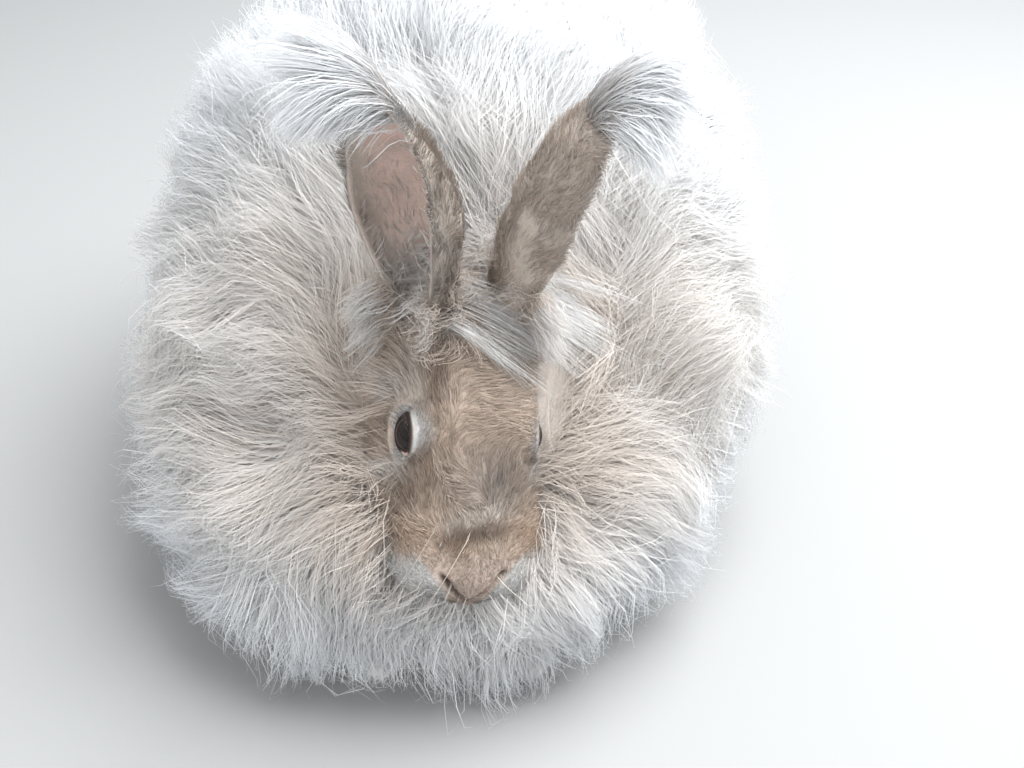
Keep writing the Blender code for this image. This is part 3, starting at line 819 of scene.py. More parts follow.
def ribbon_mesh(name, points, facing, widths, colours, spots):
    """Tapered hair ribbons as one mesh.

    points (n, m, 3) run from root to tip, facing (n, m, 3) is the way each looks, widths (n, m),
    colours (n, m, 3), spots (n, 2) are the roots' places on the skin's unwrap.
    """
    count, steps, _ = points.shape
    sideways = across(np.gradient(points, axis=1), facing)
    half = sideways * widths[..., None] / 2
    pairs = np.stack([points - half, points + half], 2)[:, :-1].reshape(count, -1, 3)
    vertices = np.concatenate([pairs, points[:, -1:]], 1)
    each = 2 * (steps - 1) + 1
    quads = np.array([(2 * j, 2 * j + 1, 2 * j + 3, 2 * j + 2) for j in range(steps - 2)])
    corners = np.concatenate([quads.ravel(), [2 * steps - 4, 2 * steps - 3, 2 * steps - 2]])
    loops = (corners[None] + each * np.arange(count)[:, None]).ravel()
    starts = np.append(4 * np.arange(steps - 2), 4 * (steps - 2))
    starts = (starts[None] + len(corners) * np.arange(count)[:, None]).ravel()
    mesh = bpy.data.meshes.new(name)
    mesh.vertices.add(count * each)
    mesh.vertices.foreach_set("co", vertices.astype(np.float32).ravel())
    mesh.loops.add(len(loops))
    mesh.loops.foreach_set("vertex_index", loops.astype(np.int32))
    mesh.polygons.add(len(starts))
    mesh.polygons.foreach_set("loop_start", starts.astype(np.int32))
    mesh.update(calc_edges=True)
    painted = np.concatenate([np.repeat(colours[:, :-1], 2, axis=1), colours[:, -1:]], 1)
    paint(mesh, painted.reshape(-1, 3))
    lowest, highest = spots.min(0), spots.max(0)
    spots = 0.01 + 0.98 * (spots - lowest) / np.maximum(highest - lowest, 1e-9)
    rise = np.linspace(0, PATCH, steps)
    left = np.stack([np.full(steps - 1, -PATCH / 2), rise[:-1]], -1)
    right = np.stack([np.full(steps - 1, PATCH / 2), rise[:-1]], -1)
    patch = np.concatenate([np.stack([left, right], 1).reshape(-1, 2), [[0.0, PATCH]]])
    flat = (spots[:, None] + patch[None]).reshape(-1, 2)
    layer = mesh.uv_layers.new(name="OFBake")
    layer.uv.foreach_set("vector", flat[loops].astype(np.float32).ravel())
    mesh.shade_smooth()
    return mesh


def add_hair(name, material, hair):
    """Hair as ribbon objects small enough for one coat piece each."""
    points = hair[0]
    low, high = (np.array(corner) for corner in CAD_BOX)
    inside = ((points > low - BOX_MARGIN) & (points < high + BOX_MARGIN)).all((1, 2))
    points, facing, widths, colours, spots = (values[inside] for values in hair)
    each = 2 * (points.shape[1] - 2) + 1
    pieces = -(-len(points) * each // MOST_TRIANGLES)
    for i, some in enumerate(np.array_split(np.arange(len(points)), pieces)):
        label = name if pieces == 1 else f"{name}_{i + 1}"
        mesh = ribbon_mesh(label, points[some], facing[some], widths[some], colours[some], spots[some])
        obj = object_from(label, mesh, material)
        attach(obj, BODY)
    print("hair", name, len(points) * each, "triangles")


def all_along(values, hair):
    """One vector for all hairs, or one a hair, repeated for each of its points."""
    return np.broadcast_to(np.atleast_2d(values)[:, None], (*hair.shape[:2], 3))


def dress(kind, hair, looks, rng):
    """Which way each ribbon faces, its widths, and how far along it each point is."""
    times, width, spread = HAIR_KINDS[kind]
    way = np.gradient(hair, axis=1)
    angle = rng.normal(0, spread, (len(hair), 1, 1))
    sideways = across(way, all_along(looks, hair))
    facing = across(sideways, way) * np.cos(angle) + sideways * np.sin(angle)
    # narrow at the root, full in the middle, down to a point
    shape = np.interp(times, [0, 0.25, 0.6, 0.85, 1.0], [0.7, 1.0, 0.95, 0.6, 0.0])
    widths = width * shape[None] * rng.uniform(0.65, 1.35, (len(hair), 1))
    return facing, widths, np.broadcast_to(times, hair.shape[:2])


def short_hair(roots, sunk, ways, length, *shares):
    """Short hairs that leave the skin along the first of some ways and turn over to the second.

    shares are those of the ways that lead from the root to each of the other control points.
    """
    ways = np.stack(ways)
    places = [roots + np.tensordot(share, ways[: len(share)], 1) * length for share in shares]
    return bezier(np.stack([roots - sunk, *places], 1), FACE_TIMES)


def swung(size, turns, times, start, power):
    """Side steps of a wave that grows along a hair."""
    return size * times**power * np.sin(2 * pi * turns * times + start)


BODY_CENTRE = np.array([0.0, -0.005, 0.115])


def around_body(places):
    """The unwrap of the body's skin: round the body, and along it from the chest to the tail."""
    reach = places - BODY_CENTRE
    along = np.arccos(np.clip(reach[:, 1] / np.linalg.norm(reach, axis=1), -1, 1)) / pi
    return np.stack([np.arctan2(reach[:, 0], reach[:, 2]) / (2 * pi) + 0.5, along], -1)


def around_head(places):
    """The unwrap of the head's skin: round its length, and along it."""
    local = to_head(places)
    angle = np.arctan2(local[:, 1], local[:, 2] + 0.45 * HEAD_DEPTH)
    return np.stack([angle / (2 * pi) + 0.5, local[:, 0] / HEAD_LENGTH], -1)


FACE_MIDDLE = np.array([0.070, 0.0, -0.020])  # in the head's axes: the long coat spreads from here
DOWN = np.array([0.0, 0.0, -1.0])
BACK = np.array([0.0, 1.0, 0.0])


def lie_of_coat(places, normals):
    """Which way the long coat lies: away from the face, back along the body, and down."""
    from_face = unit(places - from_head(FACE_MIDDLE))
    top = step(places[:, 2], 0.12, 0.24)[:, None]
    way = from_face + DOWN * (0.75 - 0.6 * top) + BACK * (0.30 + 0.3 * top)
    way = way + 0.36 * drift(places, 0.10) + (0.22 + 0.15 * top) * drift(places, 0.045)
    return flatten_on(way, normals)


def outline_anchors(tree, count, rng):
    """Places spread evenly over the outside of the coat, with the way out at each."""
    turn = pi * (3 - 5**0.5)
    i = np.arange(count) + 0.5
    up = 1 - 2 * i / count
    level = np.sqrt(1 - up * up)
    ways = np.stack([np.cos(turn * i) * level, np.sin(turn * i) * level, up], -1)
    ways = unit(ways + rng.normal(0, 0.5 / count**0.5, ways.shape))
    spots, normals = [], []
    for way in ways:
        start = BODY_CENTRE + way * 0.6
        hit, normal, _, _ = tree.ray_cast(Vector(start), Vector(-way))
        if hit is None:
            continue
        normal = np.array(normal)
        spots.append(np.array(hit))
        normals.append(normal if normal @ way > 0 else -normal)
    return np.array(spots), np.array(normals)


LOCKS = 2750
HAIRS_IN_LOCK = 38
LOCK_ROOT = 0.0100  # radii of a lock
LOCK_TIP = 0.0052
LOCK_TURN = radians(8)
LOCK_HOLLOW = 0.0055  # how deep the hollows between the swells of the coat are
LOCK_UNEVEN = 0.0045  # how much deeper some locks end than others
LOCK_TAIL = (0.024, 0.046)  # how far a lock lies along the outline
LOCK_WAVES = (0.9, 1.9)
LOCK_WAVE_SIZE = (0.0012, 0.0048)
SHARED_WAVES = ((0.0042, 0.050), (0.0016, 0.020))  # size and wavelength
WAVE_GROWTH = 1.3
FRIZZ = 0.00012
STRAY_SHARE = 0.08
WISP_SHARE = 0.05
WISP_REACH = (0.001, 0.006)
LOWEST_HAIR = 0.0008  # above the floor


def long_coat(outline, skin_tree, rng):
    """The long coat, lock by lock: points, normals, roots, shades and places of its hairs."""
    spots, normals = outline_anchors(outline, LOCKS, rng)
    under = normals[:, 2] < -0.75
    keep = ~under | (rng.random(len(spots)) < 0.30)
    keep &= head_depth_inside(spots) > 1.02
    spots, normals = spots[keep], normals[keep]
    count = len(spots)
    lie = lie_of_coat(spots, normals)
    turn = rng.normal(0, LOCK_TURN, (count, 1))
    lie = lie * np.cos(turn) + across(normals, lie) * np.sin(turn)
    hollow = 0.5 + 0.5 * drift(spots, 0.055)[:, :1]
    sunk = LOCK_HOLLOW * np.clip(hollow, 0, 1.5) + np.abs(rng.normal(0, LOCK_UNEVEN, (count, 1)))
    tail = rng.uniform(*LOCK_TAIL, (count, 1))
    root_aim = spots - normals * COAT_DEPTH - lie * 0.030
    roots, skin_normals = nearest(skin_tree, root_aim)
    ends = spots + lie * tail
    end_spots, end_normals = nearest(outline, ends)
    end_normals = np.where((end_normals * normals).sum(-1, keepdims=True) < 0, normals, end_normals)
    end_lie = flatten_on(lie + 0.40 * DOWN, end_normals)
    proud = rng.normal(0.0005, 0.0030, (count, 1))
    ends = end_spots + end_normals * (proud - sunk)
    depth = np.linalg.norm(ends - roots, axis=1, keepdims=True)
    out = unit(skin_normals * 0.55 + normals * 0.6)
    controls = np.stack([
        roots,
        roots + out * depth * 0.50,
        ends - end_lie * tail * 1.15 + end_normals * 0.004,
        ends,
    ], 1)
    shade = rng.uniform(-1, 1, count)
    tight = rng.uniform(0.5, 1.4, (count, 1))
    hairs = np.repeat(np.arange(count), HAIRS_IN_LOCK)
    n = len(hairs)
    sideways = across(lie, normals)
    ring = rng.normal(size=(n, 2))
    offset = sideways[hairs] * ring[:, :1] + lie[hairs] * ring[:, 1:]
    stray = np.where(rng.random((n, 1)) < STRAY_SHARE, 3.0, 1.0)
    hair = controls[hairs].copy()
    hair[:, 0] += offset * LOCK_ROOT * 0.6
    hair[:, 1] += offset * LOCK_ROOT * 0.75 + rng.normal(0, 0.0010, (n, 3))
    hair[:, 2] += offset * (LOCK_TIP + 0.002) + rng.normal(0, 0.0008, (n, 3)) * stray
    hair[:, 3] += offset * LOCK_TIP * tight[hairs] + rng.normal(0, 0.0011, (n, 3)) * stray
    hair[:, 3] += end_lie[hairs] * rng.uniform(-0.45, 0.30, (n, 1)) * tail[hairs]
    wisp = np.where(rng.random((n, 1)) < WISP_SHARE, rng.uniform(*WISP_REACH, (n, 1)), 0.0)
    hair[:, 3] += end_normals[hairs] * wisp
    points = bezier(hair, COAT_TIMES)
    t = COAT_TIMES[None]
    grown = (t**WAVE_GROWTH)[..., None]
    # waves that neighbours share, waves of a lock, and each hair's own frizz
    points += sum(size * grown * drift(points, wavelength) for size, wavelength in SHARED_WAVES)
    waves = rng.uniform(*LOCK_WAVES, count)[hairs, None]
    start = rng.uniform(0, 2 * pi, count)[hairs, None] + rng.normal(0, 0.30, (n, 1))
    size = rng.uniform(*LOCK_WAVE_SIZE, count)[hairs, None] * rng.uniform(0.75, 1.25, (n, 1))
    swing = swung(size, waves, t, start, WAVE_GROWTH)
    lift = swung(0.6 * size, waves * 1.2, t, start * 1.7 + pi / 2, WAVE_GROWTH)
    points += sideways[hairs, None] * swing[..., None] + normals[hairs, None] * lift[..., None]
    points += rng.normal(0, FRIZZ, points.shape) * grown
    points[..., 2] = np.maximum(points[..., 2], LOWEST_HAIR)
    clear = ~(head_depth_inside(points[:, 2:]) < 1.02).any(1)
    bottoms = roots[hairs] + offset * LOCK_ROOT * 0.6
    return [values[clear] for values in (points, normals[hairs], bottoms, shade[hairs], spots[hairs])]


# Zones of the long coat, each its own piece: name and where its front ends along Y
ZONES = (("chest", -0.105), ("ruff", -0.060), ("trunk", 0.010), ("loin", 0.075), ("rump", 1.0))


def add_long_coat(outline, skin_tree, material, rng):
    """The long coat, in one piece for each side of each zone."""
    points, normals, roots, shade, spots = long_coat(outline, skin_tree, rng)
    facing, widths, depth = dress("coat", points, normals, rng)
    lock = np.clip(shade[:, None] + rng.normal(0, 0.25, (len(points), 1)), -1.3, 1.3) + 0 * depth
    hair = (points, facing, widths, coat_colour(points, depth, lock), around_body(roots))
    start = -1.0
    for name, end in ZONES:
        for side, is_left in (("left", True), ("right", False)):
            some = (spots[:, 1] >= start) & (spots[:, 1] < end) & ((spots[:, 0] >= 0) == is_left)
            add_hair(f"coat_{name}_{side}", material, [values[some] for values in hair])
        start = end


UNDERWOOL_TUFTS = 21_000
UNDERWOOL_DEEP = (0.006, 0.016)  # how far below the outline a tuft ends
UNDERWOOL_TAIL = (0.014, 0.024)
LOWEST_UNDERWOOL = 0.002


def add_underwool(outline, skin_tree, material, rng):
    """Broad soft tufts of the dense wool that fills the coat below its locks."""
    spots, normals = outline_anchors(outline, UNDERWOOL_TUFTS, rng)
    keep = (normals[:, 2] > -0.85) & (head_depth_inside(spots) > 1.10)
    spots, normals = spots[keep], normals[keep]
    n = len(spots)
    lie = lie_of_coat(spots, normals)
    deep = rng.uniform(*UNDERWOOL_DEEP, (n, 1))
    tail = rng.uniform(*UNDERWOOL_TAIL, (n, 1))
    roots, _ = nearest(skin_tree, spots - normals * COAT_DEPTH - lie * 0.020)
    ends, end_normals = nearest(outline, spots + lie * tail)
    ends = ends - end_normals * deep
    rise = roots + normals * COAT_DEPTH * 0.45
    controls = np.stack([roots, rise, ends - lie * tail * 1.3 + normals * 0.004, ends], 1)
    hair = bezier(controls, UNDERWOOL_TIMES)
    hair += 0.003 * drift(hair, 0.05) * UNDERWOOL_TIMES[None, :, None]
    hair[..., 2] = np.maximum(hair[..., 2], LOWEST_UNDERWOOL)
    clear = ~(head_depth_inside(hair[:, 1:]) < 1.05).any(1)
    hair, roots = hair[clear], roots[clear]
    facing, widths, depth = dress("underwool", hair, normals[clear], rng)
    widths = widths * (0.4 + 0.6 * step(from_head_axis(hair[:, -1]), 0.050, 0.100))[:, None]
    lock = rng.uniform(-0.6, 0.6, (len(hair), 1)) + 0 * depth
    colours = coat_colour(hair, 0.35 + 0.5 * depth, lock)
    add_hair("underwool", material, (hair, facing, widths, colours, around_body(roots)))


def away_from_eyes(roots):
    """Whether each root is outside both eye openings and their lids, and 0 to 1 with the distance."""
    outside = np.ones(len(roots), bool)
    room = np.ones(len(roots))
    for middle, facing in EYES:
        ahead, beside = beside_eye(roots, middle, facing)
        outside &= ~((beside < LID_REACH - 0.0015) & (ahead > -0.004))
        room = np.minimum(room, step(np.hypot(beside, np.minimum(ahead, 0)), 0.011, 0.022))
    return outside, room


def face_way(local):
    """Which way the face fur lies, in the head's axes."""
    a, side, up = local.T
    side = side - FACE_MIDLINE
    # turned from straight back along the head towards its left
    turn = radians(88) * step(a, 0.060, 0.080) * step(side, -0.012, -0.002)
    turn = turn - radians(18) * step(a, 0.06, 0.09) * step(side, -0.012, -0.018)
    turn = turn + radians(28) * np.sign(side) * step(np.abs(side), 0.004, 0.018) * step(a, 0.055, 0.030)
    arch = bump(a, 0.063, 0.010) * bump(side, 0.006, 0.010)
    turn = turn + radians(40) * arch
    way = np.stack([np.cos(turn), np.sin(turn), 0 * a], -1)
    back = step(up, -0.010, -0.030)[:, None]
    sides = np.stack([0.45 + 0 * a, 0.6 * np.sign(side), -0.60 + 0 * a], -1)
    way = way * (1 - back) + sides * back
    return way + 0.30 * drift(local, 0.024) + 0.14 * drift(local, 0.008)


FACE_HAIRS = 35_000
LID_HAIRS = 3_200
SHORTEST_FACE_HAIR = 0.0020  # at the nose
FACE_HAIR_GROWTH = 0.0045
HAIR_SUNK = 0.0003  # how far short hairs start below the skin
NOSTRIL_CLEARANCE = 0.0016
DARK_HAIR_SHARE = 0.30


def face_weight(places):
    """How densely the short fur is set: dense in front, none where the cheek's long hair is."""
    local = to_head(places)
    front = step(local[:, 2], -0.050, -0.030)
    low = step(local[:, 0], 0.045, 0.030)
    return np.maximum(front, low) * (1 + 0.8 * step(local[:, 0], 0.045, 0.020)) + 0.02


def add_face_fur(head_mesh, lids, material, rng):
    """Short fur on the head and the lids, clear of the eyes and the nostrils."""
    roots, normals = scatter(head_mesh, FACE_HAIRS, rng, face_weight)
    outside, room = away_from_eyes(roots)
    for mesh, (middle, facing) in zip(lids, EYES):
        lid_roots, lid_normals = scatter(mesh, LID_HAIRS, rng)
        reach = unit(lid_roots - middle)
        lid_normals *= np.sign((lid_normals * (reach + facing)).sum(-1, keepdims=True))
        turned = np.degrees(np.arccos(np.clip(reach @ facing, -1, 1)))
        free = rng.random(LID_HAIRS) < step(turned, 58, 68)
        roots = np.concatenate([roots, lid_roots[free]])
        normals = np.concatenate([normals, lid_normals[free]])
        outside = np.concatenate([outside, np.ones(free.sum(), bool)])
        room = np.concatenate([room, np.full(free.sum(), 0.1)])
    local = to_head(roots)
    side = np.abs(local[:, 1] - FACE_MIDLINE)
    nostril_start, nostril_end, _, _ = FACE_GROOVES[0]
    slit = from_segment(np.stack([local[:, 0], side, local[:, 2]], -1), nostril_start, nostril_end)
    keep = outside & (slit > NOSTRIL_CLEARANCE)
    roots, normals, local, room, side = (values[keep] for values in (roots, normals, local, room, side))
    a, _, up = local.T
    lie = face_way(local) @ HEAD_AXES
    for middle in EYE_MIDDLES:
        reach = roots - middle
        close = step(np.linalg.norm(reach, axis=1), 0.0150, 0.0100)
        lie = mix(lie, unit(reach) + 0.5 * unit(lie), close)
    lie = flatten_on(lie, normals)
    length = (SHORTEST_FACE_HAIR + FACE_HAIR_GROWTH * step(a, 0.010, 0.055)) * (0.40 + 0.60 * room)
    length = length * (1 + 0.5 * step(a, 0.095, 0.115) + 1.1 * step(up, -0.010, -0.030))
    length = (length * rng.uniform(0.6, 1.3, len(a)))[:, None]
    beside = step(side, 0.014, 0.026) * step(a, 0.010, 0.022)
    lift = (0.34 + 0.20 * step(a, 0.090, 0.115) + 0.45 * beside)[:, None]
    bend = rng.normal(0, 0.11, (len(a), 3))
    start = unit(lie + normals * (lift + 0.25))
    end = unit(lie + normals * (lift - 0.28))
    ways = (start, end, bend)
    hair = short_hair(roots, normals * HAIR_SUNK, ways, length, (0.33,), (0.34, 0.34, 0.3), (0.45, 0.6, 1.0))
    facing, widths, depth = dress("face", hair, normals, rng)
    colours = face_colour(all_along(local, hair), depth)
    dark = (rng.random(len(hair)) < DARK_HAIR_SHARE)[:, None] * step(depth, 0.2, 0.9)
    fawn_part = 1 - step(colours.mean(-1), 0.40, 0.62)
    colours = mix(colours, DARK_FAWN * 0.75, 0.55 * dark * fawn_part)
    colours = colours * rng.uniform(0.86, 1.14, (len(hair), 1, 1))
    add_hair("face_fur", material, (hair, facing, widths, colours, around_head(roots)))


FOOT_HAIRS = 7_000
FOOT_HEIGHT = 0.034
FOOT_HAIR_LENGTH = (0.003, 0.0055)
LOWEST_FOOT_HAIR = 0.0006


def foot_weight(places):
    """The parts of the body's skin near the floor, where the feet are."""
    return step(places[:, 2], FOOT_HEIGHT, FOOT_HEIGHT - 0.006) * step(places[:, 2], 0.0006, 0.002)


def add_foot_fur(body_mesh, material, rng):
    """Short fur on the feet, combed towards the toes."""
    roots, normals = scatter(body_mesh, FOOT_HAIRS, rng, foot_weight)
    n = len(roots)
    lie = flatten_on(-BACK + 0.4 * DOWN + 0.25 * drift(roots, 0.02) + rng.normal(0, 0.15, (n, 3)), normals)
    length = rng.uniform(*FOOT_HAIR_LENGTH, (n, 1))
    start = unit(lie + normals * 0.6)
    end = unit(lie + normals * 0.05)
    hair = short_hair(roots, normals * HAIR_SUNK, (start, end), length, (0.35,), (0.45, 0.25), (0.45, 0.55))
    hair[..., 2] = np.maximum(hair[..., 2], LOWEST_FOOT_HAIR)
    facing, widths, depth = dress("foot", hair, normals, rng)
    colours = coat_colour(hair, 0.6 + 0.4 * depth, rng.uniform(-1, 1, (n, 1)) + 0 * depth)
    add_hair("foot_fur", material, (hair, facing, widths, colours, around_body(roots)))


CHEEK_HAIRS = 19_000
CHEEK_LOCKS = 520
CHEEK_LENGTHS = (0.006, 0.032, 0.010)  # of the shortest, then what the sides and the crown add
CHEEK_CENTRE = (0.082, 0.0, -0.006)  # in the head's axes: cheek hair spreads from here


def cheek_weight(places):
    """Where the head's longer hair grows: its sides, its jaw and behind the ears."""
    local = to_head(places)
    side = step(local[:, 2], -0.010, -0.026) * step(local[:, 0], 0.018, 0.034)
    return np.maximum(side, step(local[:, 0], 0.120, 0.130))


def add_cheek_fur(head_mesh, outline, material, rng):
    """Hair that lengthens from the face back to the ruff and lies over it."""
    roots, normals = scatter(head_mesh, CHEEK_HAIRS, rng, cheek_weight)
    outside, _ = away_from_eyes(roots)
    roots, normals = roots[outside], normals[outside]
    n = len(roots)
    local = to_head(roots)
    lock_places = roots[rng.choice(n, CHEEK_LOCKS, replace=False)]
    lock = np.empty(n, int)
    for i in range(0, n, 2000):
        apart = roots[i : i + 2000, None] - lock_places[None]
        lock[i : i + 2000] = (apart**2).sum(-1).argmin(1)
    way = unit(roots - from_head(CHEEK_CENTRE)) + DOWN * 0.35 + normals * 0.1
    way = way + 0.30 * drift(roots, 0.05) + rng.normal(0, 0.16, (CHEEK_LOCKS, 3))[lock]
    lie = flatten_on(way, normals)
    reach = step(local[:, 2], -0.008, -0.040) * step(local[:, 0], 0.014, 0.045)
    shortest, on_sides, on_crown = CHEEK_LENGTHS
    length = shortest + on_sides * reach + on_crown * step(local[:, 0], 0.118, 0.132)
    length = length * rng.uniform(0.85, 1.15, CHEEK_LOCKS)[lock] * rng.uniform(0.7, 1.2, n)
    length = length[:, None]
    centre = lock_places[lock] - roots
    bend = rng.normal(0, 0.06, (n, 3))
    ends = roots + (lie + normals * 0.45) * length + centre * 0.55 + bend * length
    # the longer ones lie on the ruff beside the head
    spots, ruff_normals = nearest(outline, ends)
    over = ruff_normals * rng.uniform(-0.001, 0.003, (n, 1))
    ends = mix(ends, spots + over, step(length[:, 0], 0.010, 0.018))
    end_way = flatten_on(ends - roots, ruff_normals)
    controls = np.stack([
        roots - normals * 0.0004,
        roots + (lie * 0.35 + normals * 0.75) * length * 0.35,
        ends - end_way * length * 0.35 + ruff_normals * length * 0.12 + centre * 0.15,
        ends,
    ], 1)
    hair = bezier(controls, CHEEK_TIMES)
    wave = rng.uniform(0, 2 * pi, CHEEK_LOCKS)[lock, None] + rng.normal(0, 0.4, (n, 1))
    swing = swung(0.045 * length, 1.2, CHEEK_TIMES[None], wave, 1.2)
    hair += across(lie, normals)[:, None] * swing[..., None]
    facing, widths, depth = dress("cheek", hair, normals, rng)
    shade = rng.uniform(-1, 1, CHEEK_LOCKS)[lock][:, None] + 0 * depth
    near = face_colour(all_along(local, hair), depth)
    far = coat_colour(hair, 0.4 + 0.6 * depth, shade)
    colours = mix(near, far, step(length, 0.008, 0.022) * (0.35 + 0.65 * depth))
    colours = colours * rng.uniform(0.92, 1.08, (n, 1, 1))
    add_hair("cheek_fur", material, (hair, facing, widths, colours, around_head(roots)))


def lock_hairs(controls, count, spreads, wave, rng, keep_short=0.25):
    """Hairs of one lock along a cubic curve.

    spreads are the lock's radii at its four control points, wave is (size, turns).
    """
    controls = np.asarray(controls, float)
    hair = np.repeat(controls[None], count, 0)
    ring = rng.normal(size=(count, 3))
    for i, spread in enumerate(spreads):
        hair[:, i] += spread * (0.8 * ring + 0.35 * rng.normal(size=(count, 3)))
    points = bezier(hair, LOCK_TIMES)
    shorter = 1 - rng.uniform(0, keep_short, (count, 1, 1))
    points = points[:, :1] + (points - points[:, :1]) * shorter
    size, turns = wave
    t = LOCK_TIMES[None]
    start = rng.uniform(0, 2 * pi) + rng.normal(0, 0.45, (count, 1))
    way = unit(controls[3] - controls[0])
    one = unit(np.cross(way, np.array([0.2, -0.6, 0.75])))
    swing = swung(size, turns, t, start, 1.0)
    lift = swung(0.7 * size, turns, t, start + pi / 2, 1.0)
    return points + one * swing[..., None] + np.cross(way, one) * lift[..., None]


FORELOCK = (
    # four control points in the head's axes, small locks, how far they part
    ((0.122, -0.012, -0.010), (0.122, 0.0, 0.004), (0.108, 0.024, 0.0075), (0.088, 0.050, 0.005), 9, 0.005),
    ((0.124, -0.004, -0.013), (0.126, 0.01, 0.002), (0.118, 0.032, 0.0065), (0.102, 0.06, 0.005), 9, 0.0055),
    ((0.118, -0.016, -0.008), (0.116, -0.006, 0.003), (0.103, 0.012, 0.006), (0.091, 0.032, 0.003), 7, 0.004),
    ((0.127, 0.006, -0.016), (0.131, 0.018, 0.000), (0.124, 0.042, 0.005), (0.112, 0.066, 0.003), 8, 0.006),
    ((0.116, -0.018, -0.008), (0.113, -0.010, 0.001), (0.107, 0.000, 0.002), (0.102, 0.010, 0.001), 4, 0.003),
)
FORELOCK_HAIRS = 30
FORELOCK_SPREADS = (0.0024, 0.0022, 0.0022, 0.0018)
CURLS = 90
CURL_HAIRS = 20
CURL_SPREADS = (0.0030, 0.0028, 0.0022, 0.0014)
EAR_BASE_LOCKS = 110
EAR_BASE_WAYS = {"right": (-0.55, -0.35, -0.55), "left": (0.45, -0.35, -0.50)}


def forelock_locks(rng):
    """Locks of the pale forelock that falls across the forehead: what lock_hairs needs, shade, tan."""
    for *curve, bundles, apart in FORELOCK:
        for _ in range(bundles):
            parting = rng.normal(size=3) * np.array([1.0, 1.0, 0.35])
            small = from_head(np.array(curve) + parting * apart * np.array([[0.7], [0.7], [0.9], [1.5]]))
            small = small[:1] + (small - small[:1]) * rng.uniform(0.70, 1.08)
            wave = (0.0011, rng.uniform(0.7, 1.3))
            shade, tan = rng.uniform(0.5, 1.0), rng.uniform(0.0, 0.20)
            yield small, FORELOCK_HAIRS, FORELOCK_SPREADS, wave, 0.45, shade, tan


def crown_curls(rng):
    """Curls between the ears, as forelock_locks gives them."""
    for _ in range(CURLS):
        start = np.array([rng.uniform(0.104, 0.134), rng.uniform(-0.026, 0.022), -0.006])
        start[2] -= 0.012 * step(start[0], 0.115, 0.135) + 0.006 * step(abs(start[1]), 0.012, 0.026)
        way = unit(np.array([rng.normal(-0.4, 0.5), rng.normal(0.3, 0.6), rng.uniform(0.15, 0.6)]))
        length = rng.uniform(0.008, 0.017)
        rise = start + np.array([0, 0, 0.5]) * length * 0.5
        end = start + way * length + np.array([-0.004, 0.0, -0.002])
        curve = from_head(np.array((start, rise, start + way * length * 0.7, end)))
        tan = float(step(start[0], 0.132, 0.108)) * 0.9 + rng.uniform(0.1, 0.4)
        wave = (0.0020, rng.uniform(0.9, 1.6))
        yield curve, CURL_HAIRS, CURL_SPREADS, wave, 0.3, rng.uniform(0.0, 0.8), min(tan, 1.0)


def ear_base_locks(rng):
    """Tufts round the bases of the ears and inside them, as forelock_locks gives them."""
    for side, toward in EAR_BASE_WAYS.items():
        toward = np.array(toward)
        for _ in range(EAR_BASE_LOCKS):
            inside = rng.random() < 0.30
            share = rng.uniform(-0.04, 0.30) if inside else rng.uniform(-0.05, 0.17)
            turn = rng.uniform(-1.0, 1.0) if inside or rng.random() < 0.4 else rng.choice((-1.0, -1.0, 1.0))
            place, direction, along, _, _ = ear_place(side, share, turn, float(inside))
            direction = -direction * 0.6 if inside else direction
            rim = max(float(step(abs(turn), 0.75, 1.0)), 0.5 * inside)
            if side == "right" and turn > 0 and not inside:
                rim = 0.0
            way = along * (0.55 - 0.5 * rim) + direction * 0.45 + toward * (0.25 + 0.65 * rim)
            way = unit(way + 0.25 * rng.normal(size=3))
            length = rng.uniform(0.008, 0.014) * (1 + 0.8 * rim)
            rise = place + unit(direction + way) * length * 0.4
            over = place + way * length * 0.75 + direction * 0.001
            curve = np.array((place, rise, over, place + way * length + toward * 0.002))
            wave = (0.0012, rng.uniform(0.6, 1.2))
            shade = rng.uniform(0.0, 0.6)
            tan = rng.uniform(0.3, 0.9) * (1 - 0.55 * rim) * (1 - 0.6 * inside)
            yield curve, CURL_HAIRS, CURL_SPREADS, wave, 0.35, shade, tan


def add_forelock(material, rng):
    """The pale lock across the forehead, the curls between the ears and round their bases."""
    locks, shades, tans, roots = [], [], [], []
    for kind in (forelock_locks, crown_curls, ear_base_locks):
        for curve, count, spreads, wave, short, shade, tan in kind(rng):
            locks.append(lock_hairs(curve, count, spreads, wave, rng, short))
            shades.append(np.full((count, 1), shade))
            tans.append(np.full((count, 1), tan))
            roots.append(np.repeat(curve[:1], count, 0))
    hair, shade, tan = np.concatenate(locks), np.concatenate(shades), np.concatenate(tans)
    roots = np.concatenate(roots) + rng.normal(0, 0.001, (len(hair), 3))
    facing, widths, depth = dress("forelock", hair, HEAD_AXES[2], rng)
    tip = layered(CREAM, (WHITE, shade + 0 * depth), (FAWN, 0.75 * tan + 0 * depth))
    root = mix(PEACH, FAWN, 0.8 * tan + 0 * depth)
    colours = mix(root, tip, step(depth, 0.0, 0.40))
    colours = colours * rng.uniform(0.92, 1.05, (len(hair), 1, 1))
    add_hair("forelock", material, (hair, facing, widths, colours, around_head(roots)))


EAR_HAIRS = 11_000
EAR_RIM_SHARE = 0.20
EAR_INSIDE_SHARE = 0.18
EAR_HAIR_LENGTHS = {"rim": (0.002, 0.005), "back": (0.0035, 0.0065), "inside": (0.003, 0.007)}
PLUME_HAIRS = 2_600


